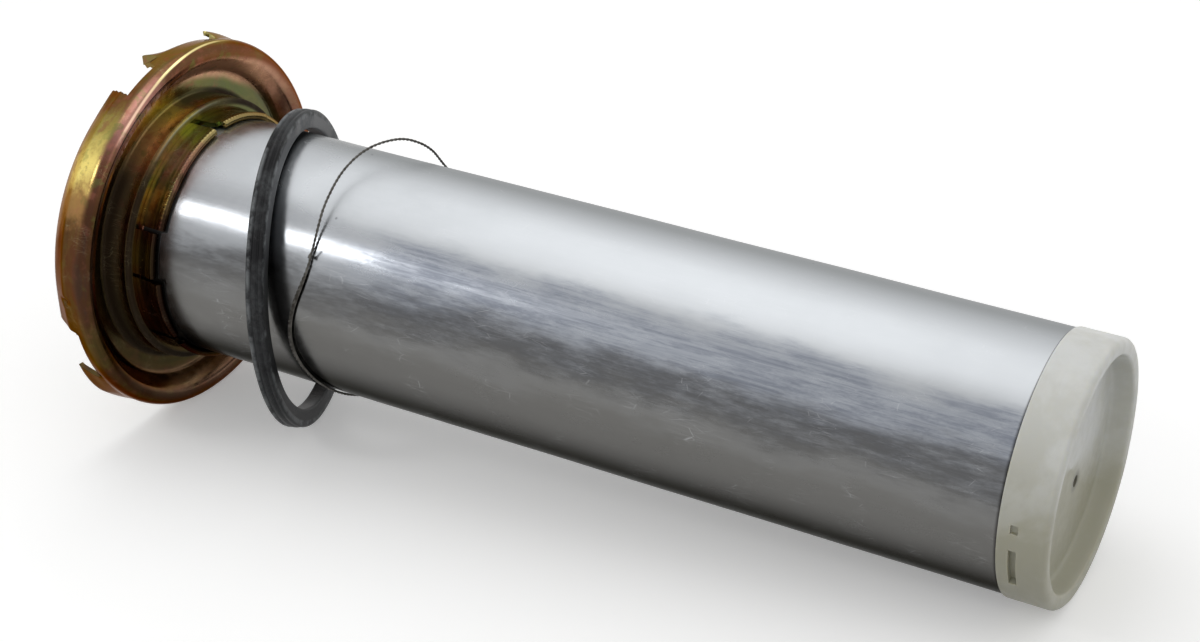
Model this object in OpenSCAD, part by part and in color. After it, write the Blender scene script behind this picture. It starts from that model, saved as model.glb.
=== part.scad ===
// Tube type fuel tank sending unit, lying on its side.
// X runs along the tube, from the flange towards the lower end cap, and Z is up.
// The origin is the centre of the flange's seal seat. Lengths are in millimetres.
// A clock angle turns about X, from +Y towards +Z.

/* [Tube] */
// Outside diameter of the aluminium tube
tube_od = 50; // [48:0.5:52]
// Wall thickness of the tube
tube_wall = 1; // [0.8:0.1:1.2]
// Distance from the seal seat to the lower end of the tube
tube_end = 192; // [160:1:240]

/* [Flange] */
// Width of the rounded bead and skirt outside the tube wall
bead_reach = 14.9; // [14.5:0.1:16]
// Height of the bead above the seal seat
bead_height = 4.5; // [4:0.1:5]
// Depth of the skirt behind the seal seat
skirt_depth = 6.4; // [6:0.1:8]
// Height of the slotted collar above the seal seat
collar_height = 12.3; // [11.5:0.1:14]

/* [End cap] */
// Length of the cap that shows below the tube
cap_length = 9.2; // [8.5:0.1:12]
// Depth of the recess in the cap's end face
cap_recess = 4.4; // [4.2:0.1:5]

/* [Float] */
// Diameter of the float
float_od = 42; // [38:0.5:42]
// Length of the float
float_length = 30; // [20:1:40]

/* [Seal ring] */
// Mean diameter of the loose rubber seal ring
seal_mean_d = 63; // [62:0.5:64]
// Width of the seal ring's section along its axis
seal_width = 3.6; // [3.2:0.1:5]
// Thickness of the seal ring's section across its axis
seal_thick = 4; // [3:0.5:4]

/* [Hidden] */

$fn = 64;

sheet = 1;                             // pressed steel sheet
thin_sheet = 0.9;
tube_r = tube_od / 2;
tube_in_r = tube_r - tube_wall;
bead_r = tube_r + bead_reach;
crest_r = bead_r - 2;
seat_out_r = tube_r + 8.2;
seat_in_r = tube_r + 4.4;
neck_r = tube_r + 3.5;
lip_r = tube_r + sheet;
skirt_edge_r = bead_r - 3.7;
notch_x = 0;                           // where the notches in the skirt stop
low_skirt_x = -2.8;                    // edge of the shallow part of the skirt

brim_r = tube_r + 6.5;
collar_back = -sheet - thin_sheet;
cup_back = collar_back - thin_sheet;
cup_in_r = tube_r - thin_sheet;
plate_x = 5.5;                         // outer face of the cup's bottom
tube_start = plate_x + sheet;

gasket_x = plate_x - 0.5;
block_x = gasket_x - 3.5;              // outer face of the terminal block
block_r = tube_r - 6;
pad_thick = 0.8;
pad_x = block_x - pad_thick;
rivet_pitch_r = 13;
rivet_r = 1.5;
rivet_head_r = 2.6;
boss_r = 3;
blade_r = 17;                          // distance of the blades from the axis
blade_w = 6.3;
signal_at = 90;                        // clock angles of the three circuits
return_at = 210;
warning_at = 330;
circuits = [signal_at, return_at, warning_at];

carrier_r = tube_in_r - 0.4;
carrier_thick = 3;
upper_face = tube_start + carrier_thick;
hub_r = 6;
upper_hub_end = upper_face + 6.5;
tag_thick = 0.5;
tag_face = upper_face + tag_thick;
wire_pitch_r = 9;
wire_r = 0.15;
rod_r = 2;
rod_start = upper_face + 1;
bumper_r = 4.6;
upper_bumper_end = upper_hub_end + 2.5;

cap_end = tube_end + cap_length;
cap_r = tube_r + 0.4;
cap_rim_r = cap_r - 3;
cap_floor = cap_end - cap_recess;      // outer face of the recess's floor
cap_floor_thick = 1.6;
plug_start = tube_end - 5;
plug_r = tube_in_r - 0.05;
plug_in_r = plug_r - 1.4;

lower_face = plug_start - carrier_thick;
lower_hub_start = lower_face - 2;
lower_bumper_start = lower_hub_start - 2;
rod_end = plug_start + 3;
spring_x = plug_start + 3.2;           // where the springs hold the wires
spring_foot_r = 17;

float_r = float_od / 2;
bridge_thick = 0.4;
float_low = lower_bumper_start - 0.2 - bridge_thick;
float_top = float_low - float_length;
contact_seat = float_top - 2;

seal_r = seal_mean_d / 2;
seal_centre = [29, 0.5, -3.8];
seal_yaw = 19;
seal_pitch = 3.2;

// Clock angles of each notch's sides: both at the skirt's free edge, both at its bottom
deep_notches = [[93, 110, 99.5, 113], [191.3, 211.5, 191.8, 211.5], [300, 318, 300, 318]];
// Clock ranges where the skirt is only shallow
low_sectors = [[211.5, 300], [318, 429.5]];
// Bent strips of the skirt: clock range, distance from the axis and place along X of the edge
low_strips = [
  [211.5, 216, 38.9, -6], [216, 223, 39.5, -5.1], [223, 232, 39.7, -4.1], [232, 243, 39.5, -3.3],
  [48, 58, 40.2, -2.9], [58, 69.5, 40.8, -3.1]
];
bent_tab = [86, 93, 37.8, -6.8];
bent_tab_root = -3.6;                  // where the bent tab leaves the plain skirt
// Clock ranges of the short tongues between the collar's fingers
tongues = [[34, 57], [154, 177], [274, 297]];
plain_slots = [94, 214, 334];
cap_windows = [[186, 207], [6, 27]];

// The wire's route: clock angle, distance along the tube, distance from the axis
tie_wire_r = 0.3;
tie_route = [
  [232, 47.6, 25.8], [214, 45.4, 25.8], [204, 44.3, 25.8], [196, 43.7, 25.8],
  [188, 43.5, 25.8], [180, 43.8, 25.8], [171, 44.6, 25.8], [160, 46, 25.8],
  [152, 46.9, 25.8], [144, 47, 25.8], [134, 46.8, 26.2], [120, 46.4, 27],
  [104, 46.4, 28], [90, 47.7, 29], [76, 50.3, 29.4], [66, 52.1, 28.6],
  [58, 53, 27.6], [48, 53.4, 26.4], [30, 54.3, 25.8], [8, 55.2, 25.8],
  [-15, 55.6, 25.8], [-35, 55.2, 25.8], [-55, 54.2, 25.8], [-75, 52.6, 25.8],
  [-95, 50.8, 25.8], [-112, 49.2, 25.8]
];
tie_steps = 3;
tie_sides = 8;

// Lays a shape that was built about Z along the tube's axis instead.
module along_x() {
  rotate([0, 90, 0]) children();
}

// Turns a profile of [radius, distance along X] right round the axis.
module turned() {
  along_x() rotate_extrude($fn = 128) children();
}

// Turns a profile through part of a circle, between two clock angles.
module sector(from, to) {
  rotate([from, 0, 0]) along_x() rotate([0, 0, 90])
    rotate_extrude(angle = to - from, $fn = 128) children();
}

// Puts a shape at a clock angle: its Y then points away from the axis.
module at_clock(angle) {
  rotate([angle, 0, 0]) children();
}

// A plain disc or ring between two distances along X.
module ring(from, to, outer, inner = 0) {
  translate([from, 0, 0]) along_x() difference() {
    cylinder(h = to - from, r = outer, $fn = 96);
    if (inner > 0)
      translate([0, 0, -1]) cylinder(h = to - from + 2, r = inner, $fn = 96);
  }
}

// A round bar along X at a clock angle and a distance from the axis.
module bar_at(angle, pitch, from, to, r) {
  at_clock(angle) translate([from, pitch, 0]) along_x()
    cylinder(h = to - from, r = r, $fn = 32);
}

// A flat strip: thickness along X, then from one radius to another.
module strip(from, to, inner, outer, width) {
  translate([from, inner, -width / 2]) cube([to - from, outer - inner, width]);
}

// Strip of the skirt beside a notch, bent outwards from a root inside the sheet.
module bent_strip(strip, root) {
  edge = [strip[2], strip[3]];
  sector(strip[0], strip[1]) polygon([
    root - [0.2, 0], root + [0.2, 0], edge + [thin_sheet / 2, 0], edge - [thin_sheet / 2, 0]
  ]);
}

// Cutter for a notch, whose sides may lean towards its bottom.
module notch_cutter(sides) {
  middle = (sides[0] + sides[1]) / 2;
  free = -skirt_depth - 0.5;
  across = [for (a = sides) -crest_r * sin(a - middle)];
  at_clock(middle) translate([0, seat_out_r + 1.5, 0]) rotate([-90, 0, 0])
    linear_extrude(9) polygon([
      [free - 3, across[0]], [free, across[0]], [notch_x, across[2]],
      [notch_x, across[3]], [free, across[1]], [free - 3, across[1]]
    ]);
}

// Pressed flange: seal seat, rounded bead, notched skirt and raised neck.
module flange_cap() {
  color("goldenrod") {
    difference() {
      turned() polygon([
        [skirt_edge_r, -skirt_depth], [bead_r - 1.1, -2.6], [bead_r, 1.9],
        [bead_r - 0.2, bead_height - 1.5], [bead_r - 0.9, bead_height - 0.5],
        [crest_r, bead_height], [crest_r - 1.5, bead_height - 0.3],
        [crest_r - 2.7, bead_height - 1.5], [seat_out_r + 0.9, 1.2],
        [seat_out_r, 0], [seat_in_r, 0], [neck_r + 0.1, 0.8], [neck_r, 4.4],
        [neck_r - 0.4, 5.3], [neck_r - 1.3, 5.9], [lip_r, 6], [lip_r, 5],
        [neck_r - 1.6, 4.9], [neck_r - 1, 4.2], [neck_r - 1, -1],
        [seat_out_r + 0.6, -1], [crest_r - 2.6, 0.8], [crest_r - 1.8, 2.2],
        [crest_r - 0.9, bead_height - 1.3], [crest_r, bead_height - 1],
        [bead_r - 1.2, bead_height - 1.4], [bead_r - 1, 1.9],
        [bead_r - 2.1, -2.3], [skirt_edge_r - 0.9, 0.5 - skirt_depth]
      ]);
      for (n = deep_notches)
        notch_cutter(n);
      sector(bent_tab[0] + 0.2, deep_notches[0][2] + 1) translate([seat_out_r + 1.5, -skirt_depth - 2])
        square([9, skirt_depth + 2 + bent_tab_root]);
      for (n = low_sectors)
        sector(n[0] - 0.5, n[1] + 0.5) translate([seat_out_r + 1.5, -skirt_depth - 2])
          square([9, skirt_depth + 2 + low_skirt_x]);
      at_clock(181) translate([-2.2, bead_r - 1.3, 0]) rotate([-90, 0, 0])
        cylinder(h = 3, r = 1.5, $fn = 32);
    }
    bent_strip(bent_tab, [bead_r - 2, bent_tab_root + 0.8]);
    for (s = low_strips)
      bent_strip(s, [bead_r - 0.55, 1.2]);
  }
}

// Slotted sleeve: its brim is welded behind the seat and its fingers grip the tube.
module crimp_collar() {
  finger_start = 5.8;
  short_end = collar_height - 1.5;
  half_slot = 1.6;
  half_mouth = 2.8;
  half_cut = 1;
  color("darkkhaki") difference() {
    turned() polygon([
      [tube_r, collar_back], [brim_r, collar_back], [brim_r, -sheet], [lip_r, -sheet],
      [lip_r, collar_height - 2.6], [lip_r + 0.4, collar_height - 1.7],
      [lip_r + 0.5, collar_height - 0.8], [lip_r + 0.2, collar_height - 0.1],
      [tube_r + 0.5, collar_height], [tube_r, collar_height - 0.5]
    ]);
    for (a = plain_slots) {
      sector(a - half_slot, a + half_slot) translate([tube_r - 1, finger_start]) square([4, 12]);
      sector(a - half_mouth, a + half_mouth) translate([tube_r - 1, short_end - 0.6]) square([4, 12]);
    }
    for (t = tongues) {
      for (a = t)
        sector(a - half_cut, a + half_cut) translate([tube_r - 1, finger_start]) square([4, 12]);
      sector(t[0], t[1]) translate([tube_r - 1, short_end]) square([4, 12]);
    }
  }
}

// Steel cup that closes the tube and carries the terminals.
module head_cup() {
  color("tan") difference() {
    turned() polygon([
      [0, plate_x], [cup_in_r, plate_x], [cup_in_r, cup_back], [brim_r, cup_back],
      [brim_r, collar_back], [tube_r, collar_back], [tube_r, tube_start], [0, tube_start]
    ]);
    for (a = [signal_at, warning_at])
      bar_at(a, rivet_pitch_r, plate_x - 1, tube_start + 1, boss_r);
    bar_at(return_at, rivet_pitch_r, plate_x - 1, tube_start + 1, rivet_r);
  }
}

// Moulded insulator that holds the three blades.
module terminal_block() {
  color("dimgray") difference() {
    union() {
      ring(block_x, gasket_x, block_r);
      ring(block_x - 1, gasket_x, block_r, block_r - 1.2);
      for (a = [signal_at, warning_at])
        bar_at(a, rivet_pitch_r, block_x, tube_start, boss_r);
    }
    for (a = circuits)
      bar_at(a, rivet_pitch_r, block_x - 2, tube_start + 1, rivet_r);
  }
}

// Rubber sheet between the block and the cup.
module block_gasket() {
  color("black") difference() {
    ring(gasket_x, plate_x, block_r + 1);
    for (a = [signal_at, warning_at])
      bar_at(a, rivet_pitch_r, gasket_x - 1, plate_x + 1, boss_r);
    bar_at(return_at, rivet_pitch_r, gasket_x - 1, plate_x + 1, rivet_r);
  }
}

// One push-on blade with its foot under the rivet's head.
module blade(angle, width) {
  tip = -skirt_depth;
  color("goldenrod") at_clock(angle) difference() {
    union() {
      strip(pad_x, block_x, rivet_pitch_r - 3.5, blade_r + 0.4, width);
      translate([0, blade_r + 0.4, 0]) rotate([90, 0, 0]) linear_extrude(pad_thick)
        polygon([
          [block_x, -width / 2], [tip + 1, -width / 2], [tip, 1 - width / 2],
          [tip, width / 2 - 1], [tip + 1, width / 2], [block_x, width / 2]
        ]);
    }
    translate([pad_x - 1, rivet_pitch_r, 0]) along_x() cylinder(h = 4, r = rivet_r);
    translate([tip + 3, blade_r + 2, 0]) rotate([90, 0, 0]) cylinder(h = 4, r = 0.8);
  }
}

module signal_blade() {
  blade(signal_at, blade_w);
}

module warning_blade() {
  blade(warning_at, 4.8);
}

module ground_blade() {
  blade(return_at, blade_w);
}

// Tubular rivets that clamp blade, block, gasket, cup, carrier and tag.
module terminal_rivets() {
  color("silver") for (a = circuits) difference() {
    union() {
      bar_at(a, rivet_pitch_r, pad_x - 0.9, pad_x, rivet_head_r);
      bar_at(a, rivet_pitch_r, pad_x, tag_face, rivet_r);
      bar_at(a, rivet_pitch_r, tag_face, tag_face + 0.8, rivet_head_r);
    }
    bar_at(a, rivet_pitch_r, tag_face - 3, tag_face + 2, 0.8);
  }
}

// Plain aluminium tube with an air vent near the flange.
module tube() {
  color("gainsboro") difference() {
    ring(tube_start, tube_end, tube_r, tube_in_r);
    at_clock(300) translate([collar_height + 6, tube_in_r - 2, 0]) rotate([-90, 0, 0])
      cylinder(h = 6, r = 1.5, $fn = 32);
  }
}

// Cuts the rail slots and the large openings out of a carrier.
module carrier_openings(from, to) {
  for (a = [0, 180])
    at_clock(a) strip(from - 1, to + 1, carrier_r - 2, carrier_r - 1, 6);
  for (a = [30, 150, 270])
    bar_at(a, 15, from - 1, to + 1, 4.5);
}

// Moulded disc behind the cup: it carries the tags and the guide rod.
module upper_carrier() {
  color("ivory") difference() {
    union() {
      ring(tube_start, upper_face, carrier_r);
      ring(upper_face, upper_hub_end, hub_r);
    }
    carrier_openings(tube_start, upper_face);
    for (a = circuits)
      bar_at(a, rivet_pitch_r, tube_start - 1, upper_face + 1, rivet_r);
    ring(rod_start, upper_hub_end + 1, rod_r);
  }
}

// Brass tag from a rivet to the start of one wire.
module tag(angle) {
  color("gold") at_clock(angle) difference() {
    strip(upper_face, tag_face, hub_r + 1.2, rivet_pitch_r + 3.2, 5.6);
    translate([upper_face - 1, rivet_pitch_r, 0]) along_x() cylinder(h = 3, r = rivet_r);
  }
}

module signal_tag() {
  tag(signal_at);
}

module return_tag() {
  tag(return_at);
}

module warning_tag() {
  tag(warning_at);
}

// Solder on the wire ends, above the tags and on the springs.
module solder_joints() {
  color("lightgray") for (a = circuits) at_clock(a) difference() {
    union() {
      translate([tag_face, wire_pitch_r, 0]) along_x() cylinder(h = 1.2, r1 = 1.3, r2 = 0.5);
      translate([spring_x + 0.3, wire_pitch_r, 0]) along_x() cylinder(h = 1, r1 = 1.2, r2 = 0.5);
    }
    translate([tag_face - 1, wire_pitch_r, 0]) along_x()
      cylinder(h = spring_x + 4 - tag_face, r = wire_r, $fn = 16);
  }
}

// Steel rod that guides the float.
module guide_rod() {
  color("silver") union() {
    ring(rod_start, rod_end - 0.4, rod_r);
    ring(rod_end - 0.4, rod_end, rod_r - 0.4);
  }
}

// Two flat rails that hold the carriers apart.
module frame_rails() {
  color("lightgray") for (a = [0, 180])
    at_clock(a) strip(tube_start, plug_start, carrier_r - 2, carrier_r - 1, 6);
}

// One stretched wire, from its tag to its spring.
module stretched_wire(angle) {
  color("darkgoldenrod") at_clock(angle) translate([tag_face, wire_pitch_r, 0]) along_x()
    cylinder(h = spring_x + 1.3 - tag_face, r = wire_r, $fn = 16);
}

module signal_wire() {
  stretched_wire(signal_at);
}

module return_wire() {
  stretched_wire(return_at);
}

module warning_wire() {
  stretched_wire(warning_at);
}

// Rubber stops on the rod, above and below the float.
module upper_bumper() {
  color("black") ring(upper_hub_end, upper_bumper_end, bumper_r, rod_r);
}

module lower_bumper() {
  color("black") ring(lower_bumper_start, lower_hub_start, bumper_r, rod_r);
}

// Moulded disc at the lower end, held by the end cap's plug.
module lower_carrier() {
  color("ivory") difference() {
    union() {
      ring(lower_face, plug_start, carrier_r);
      ring(lower_hub_start, lower_face, hub_r);
    }
    carrier_openings(lower_face, plug_start);
    for (a = circuits) {
      bar_at(a, wire_pitch_r, lower_face - 1, plug_start + 1, 1);
      bar_at(a, spring_foot_r, plug_start - 2.5, plug_start + 1, 0.9);
    }
    ring(lower_hub_start - 1, plug_start + 1, rod_r);
  }
}

// Leaf springs that keep the three wires tight.
module tension_springs() {
  leaf = 0.3;
  knee = 14.6;
  tip = 7.4;
  color("peru") for (a = circuits) at_clock(a) difference() {
    translate([0, 0, -1.5]) linear_extrude(3) polygon([
      [plug_start, spring_foot_r + 2.4], [plug_start, knee],
      [spring_x, wire_pitch_r + 1.6], [spring_x, tip], [spring_x + leaf, tip],
      [spring_x + leaf, wire_pitch_r + 1.7], [plug_start + leaf, knee + 0.1],
      [plug_start + leaf, spring_foot_r + 2.4]
    ]);
    translate([plug_start - 1, spring_foot_r, 0]) along_x() cylinder(h = 3, r = 0.9);
    translate([spring_x - 1, wire_pitch_r, 0]) along_x() cylinder(h = 3, r = wire_r, $fn = 16);
  }
}

// Small screws that hold the springs on the lower carrier.
module spring_screws() {
  head = plug_start + 0.3;
  color("silver") for (a = circuits) difference() {
    union() {
      bar_at(a, spring_foot_r, plug_start - 2.5, head, 0.9);
      bar_at(a, spring_foot_r, head, head + 1.2, 1.8);
    }
    at_clock(a) translate([head + 0.7, spring_foot_r - 3, -0.2]) cube([2, 6, 0.4]);
  }
}

// Two leaf contacts that the float's bridge joins when the tank is nearly empty.
module warning_contacts() {
  free_x = float_low + bridge_thick + 0.5;
  color("peru") for (a = [return_at, warning_at]) at_clock(a + 24)
    translate([0, 0, -1.2]) linear_extrude(2.4) polygon([
      [lower_face, 13.6], [lower_face, 8.6], [free_x + 0.3, 7.2], [free_x, 7.4],
      [free_x, 10], [free_x + 0.3, 10], [free_x + 0.8, 8.2], [lower_face - 0.3, 9.2],
      [lower_face - 0.3, 13.6]
    ]);
}

// Push-on spring washer on the rod's lower end.
module rod_clip() {
  color("silver") difference() {
    ring(plug_start, plug_start + 0.6, 5, rod_r);
    for (a = [0:60:300])
      at_clock(a) strip(plug_start - 1, plug_start + 2, rod_r - 0.5, 3.6, 0.5);
  }
}

// Moulded nylon cap: plug inside the tube, outer ring and recessed end face.
module end_cap() {
  nose = 1.2;
  color("whitesmoke") difference() {
    turned() polygon(concat(
      [[plug_in_r, plug_start], [plug_r, plug_start], [plug_r, tube_end], [cap_r - 0.25, tube_end],
       [cap_r, tube_end + 0.4]],
      [for (a = [0:15:90]) [cap_r - nose + nose * cos(a), cap_end - nose + nose * sin(a)]],
      [[cap_rim_r + 0.4, cap_end], [cap_rim_r, cap_end - 0.5], [cap_rim_r - 0.2, cap_floor + 0.6],
       [cap_rim_r - 0.8, cap_floor], [0, cap_floor], [0, cap_floor - cap_floor_thick],
       [plug_in_r, cap_floor - cap_floor_thick]]
    ));
    for (w = cap_windows) {
      sector(w[0], w[1]) translate([plug_r - 0.6, tube_end + 2.3]) square([4, 1.5]);
      sector(w[0] - 11.5, w[0] - 8) translate([cap_r - 0.5, tube_end + 2]) square([4, 1.6]);
    }
    translate([cap_floor - 4, 4, -5]) along_x() cylinder(h = 8, r = 1.2, $fn = 32);
    for (a = [90, 180])
      bar_at(a, 16, cap_floor - 4, cap_floor + 4, 1.5);
  }
}

// Closed-cell float with a bore for the rod and three for the wires.
module float() {
  chamfer = 1.5;
  color("wheat") difference() {
    turned() polygon([
      [rod_r + 0.1, float_top], [float_r - chamfer, float_top], [float_r, float_top + chamfer],
      [float_r, float_low - chamfer], [float_r - chamfer, float_low], [rod_r + 0.1, float_low]
    ]);
    for (a = circuits)
      bar_at(a, wire_pitch_r, float_top - 1, float_low + 1, 1.6);
  }
}

// Moulded plate on top of the float: it holds the sliding contacts.
module contact_carrier() {
  color("brown") difference() {
    ring(contact_seat, float_top, 14, rod_r + 0.1);
    for (a = circuits)
      bar_at(a, wire_pitch_r, contact_seat - 1, float_top + 1, 1.6);
  }
}

// Bronze plate with two fingers that slide along the signal and return wires.
module contact_springs() {
  leaf = 0.3;
  top = contact_seat - leaf;
  finger_r = wire_pitch_r - wire_r - 0.15;
  color("peru") difference() {
    union() {
      ring(top, contact_seat, finger_r, bumper_r + 0.6);
      for (a = [signal_at, return_at])
        at_clock(a) strip(top - 3, contact_seat, finger_r - leaf, finger_r, 2.4);
    }
    bar_at(warning_at, wire_pitch_r, top - 1, contact_seat + 1, 1.6);
  }
}

// Bronze ring under the float that closes the warning contacts.
module warning_bridge() {
  color("peru") difference() {
    ring(float_low, float_low + bridge_thick, 11.4, bumper_r + 1);
    for (a = circuits)
      bar_at(a, wire_pitch_r, float_low - 1, float_low + 2, 1.6);
  }
}

// Rubber ring with three low ribs, hanging askew on the tube.
module seal_ring() {
  out_r = seal_r + seal_thick / 2;
  in_r = seal_r - seal_thick / 2;
  half = seal_width / 2;
  color("dimgray") translate(seal_centre) rotate([0, -seal_pitch, seal_yaw]) turned() polygon([
    [in_r, 0.6 - half], [in_r + 0.6, -half], [out_r - 0.8, -half], [out_r - 0.2, 0.5 - half],
    [out_r - 0.1, 0.9 - half], [out_r - 0.4, 1.2 - half], [out_r, 1.5 - half],
    [out_r, half - 1.5], [out_r - 0.4, half - 1.2], [out_r - 0.1, half - 0.9],
    [out_r - 0.2, half - 0.5], [out_r - 0.8, half], [in_r + 0.6, half], [in_r, half - 0.6]
  ]);
}

// A smooth curve through the closed list of stations, in [angle, x, radius].
function wrapped(i) = let (n = len(tie_route), turn = floor(i / n))
  tie_route[i - n * turn] - [360 * turn, 0, 0];
function blended(a, b, c, d, t) =
  0.5 * (2 * b + (c - a) * t + (2 * a - 5 * b + 4 * c - d) * t * t
         + (3 * b - a - 3 * c + d) * t * t * t);
function tie_station(i, t) =
  blended(wrapped(i - 1), wrapped(i), wrapped(i + 1), wrapped(i + 2), t);
function tie_point(s) = [s[1], s[2] * cos(s[0]), s[2] * sin(s[0])];
function unit(v) = v / norm(v);

// Thin steel tie wire: one closed loop round the tube.
module tie_wire() {
  centres = [for (i = [0:len(tie_route) - 1], k = [0:tie_steps - 1])
    tie_point(tie_station(i, k / tie_steps))];
  count = len(centres);
  rings = [for (i = [0:count - 1])
    let (way = unit(centres[(i + 1) % count] - centres[(i + count - 1) % count]),
         out = unit(cross(way, [1, 0, 0])),
         side = cross(way, out))
    for (k = [0:tie_sides - 1])
      centres[i] + tie_wire_r * (out * cos(360 * k / tie_sides) + side * sin(360 * k / tie_sides))];
  faces = [for (i = [0:count - 1], k = [0:tie_sides - 1])
    let (j = (i + 1) % count, m = (k + 1) % tie_sides)
    [i * tie_sides + k, j * tie_sides + k, j * tie_sides + m, i * tie_sides + m]];
  color("darkslategray") polyhedron(points = rings, faces = faces, convexity = 8);
}

flange_cap();
crimp_collar();
head_cup();
terminal_block();
block_gasket();
signal_blade();
warning_blade();
ground_blade();
terminal_rivets();
tube();
upper_carrier();
signal_tag();
return_tag();
warning_tag();
solder_joints();
guide_rod();
frame_rails();
signal_wire();
return_wire();
warning_wire();
upper_bumper();
lower_bumper();
lower_carrier();
tension_springs();
spring_screws();
warning_contacts();
rod_clip();
end_cap();
float();
contact_carrier();
contact_springs();
warning_bridge();
seal_ring();
tie_wire();
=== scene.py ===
"""Fuel tank sending unit: notched flange, polished tube, nylon cap, seal ring and tie wire.

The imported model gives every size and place. This script makes the outer pieces again with
pressed, rolled and moulded detail, and gives all the others their finish.
Lengths are in millimetres until a piece is finished, and a clock angle turns about the
tube's axis (X), from +Y towards +Z.
"""

import logging
import math
from collections.abc import Callable, Iterable, Sequence
from dataclasses import dataclass, field
from enum import Enum

import bmesh
import bpy
from mathutils import Matrix, Vector, noise


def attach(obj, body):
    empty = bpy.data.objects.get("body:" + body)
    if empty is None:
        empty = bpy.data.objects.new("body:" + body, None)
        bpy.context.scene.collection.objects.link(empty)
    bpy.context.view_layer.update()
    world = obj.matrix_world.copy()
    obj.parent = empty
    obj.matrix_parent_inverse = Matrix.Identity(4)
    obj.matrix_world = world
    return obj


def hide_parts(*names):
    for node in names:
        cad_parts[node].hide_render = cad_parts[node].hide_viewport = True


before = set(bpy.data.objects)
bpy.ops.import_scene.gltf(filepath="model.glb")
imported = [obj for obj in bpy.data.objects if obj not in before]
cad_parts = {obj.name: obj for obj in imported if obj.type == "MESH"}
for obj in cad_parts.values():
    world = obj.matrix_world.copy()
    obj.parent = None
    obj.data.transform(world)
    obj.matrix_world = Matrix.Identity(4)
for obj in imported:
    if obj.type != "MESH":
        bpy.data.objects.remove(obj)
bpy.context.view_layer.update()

LOG = logging.getLogger("sending_unit")
MM = 0.001
ALONG = Vector((1, 0, 0))
SHARP_ANGLE = 42.0
Colour = tuple[float, float, float]
Window = tuple[float, float, float, float]
Tones = Sequence[tuple[float, Colour]]


class Slot(Enum):
    """Material slots of the record. Each new piece is handed one, which nothing reads."""

    ZINC = "zinc_steel"
    STEEL = "plain_steel"
    ALUMINIUM = "tube_aluminium"
    NYLON = "cap_nylon"
    RUBBER = "seal_rubber"
    WIRE = "wire_steel"
    BLOCK = "block_plastic"
    BRASS = "brass_parts"


class Body(Enum):
    """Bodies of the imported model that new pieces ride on."""

    SENDER = "sender_body"
    SEAL = "loose_seal"
    WIRE = "loose_wire"


def smooth(value: float, low: float, high: float) -> float:
    """Eases from 0 at low to 1 at high.

    Args:
        value: The number to place between the two limits.
        low: Where the result is 0.
        high: Where the result is 1.

    Returns:
        The eased share, from 0 to 1.
    """
    share = min(max((value - low) / (high - low), 0.0), 1.0)
    return share * share * (3 - 2 * share)


def clock_gap(first: float, second: float) -> float:
    """Signed gap in degrees from the second clock angle to the first.

    Args:
        first: The angle that the gap ends at.
        second: The angle that it starts from.

    Returns:
        The gap, from -180 to 180.
    """
    return (first - second + 180) % 360 - 180


def on_clock(clock: float, x: float, radius: float) -> Vector:
    """Places a point by its clock angle.

    Args:
        clock: The clock angle in degrees.
        x: Distance along the tube.
        radius: Distance from its axis.

    Returns:
        The point.
    """
    turn = math.radians(clock)
    return Vector((x, radius * math.cos(turn), radius * math.sin(turn)))


# Shader work


@dataclass(frozen=True)
class Term:
    """A value in a node tree. A sum written with it adds the Math node that does it."""

    bench: "Bench"
    socket: bpy.types.NodeSocket

    def __add__(self, other: "Value") -> "Term":
        """This value and another."""
        return self.bench.sum("ADD", self, other)

    def __radd__(self, other: float) -> "Term":
        """A number and this value."""
        return self.bench.sum("ADD", other, self)

    def __sub__(self, other: "Value") -> "Term":
        """This value less another."""
        return self.bench.sum("SUBTRACT", self, other)

    def __rsub__(self, other: float) -> "Term":
        """A number less this value."""
        return self.bench.sum("SUBTRACT", other, self)

    def __mul__(self, other: "Value") -> "Term":
        """This value times another."""
        return self.bench.sum("MULTIPLY", self, other)

    def __truediv__(self, other: "Value") -> "Term":
        """This value over another."""
        return self.bench.sum("DIVIDE", self, other)

    def __rtruediv__(self, other: float) -> "Term":
        """A number over this value."""
        return self.bench.sum("DIVIDE", other, self)

    def __mod__(self, other: float) -> "Term":
        """What is left of this value past whole steps of a number."""
        return self.bench.sum("FLOORED_MODULO", self, other)

    def __abs__(self) -> "Term":
        """This value without its sign."""
        return self.bench.sum("ABSOLUTE", self)


Value = Term | float | Colour
Spots = dict[str, Term]


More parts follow.
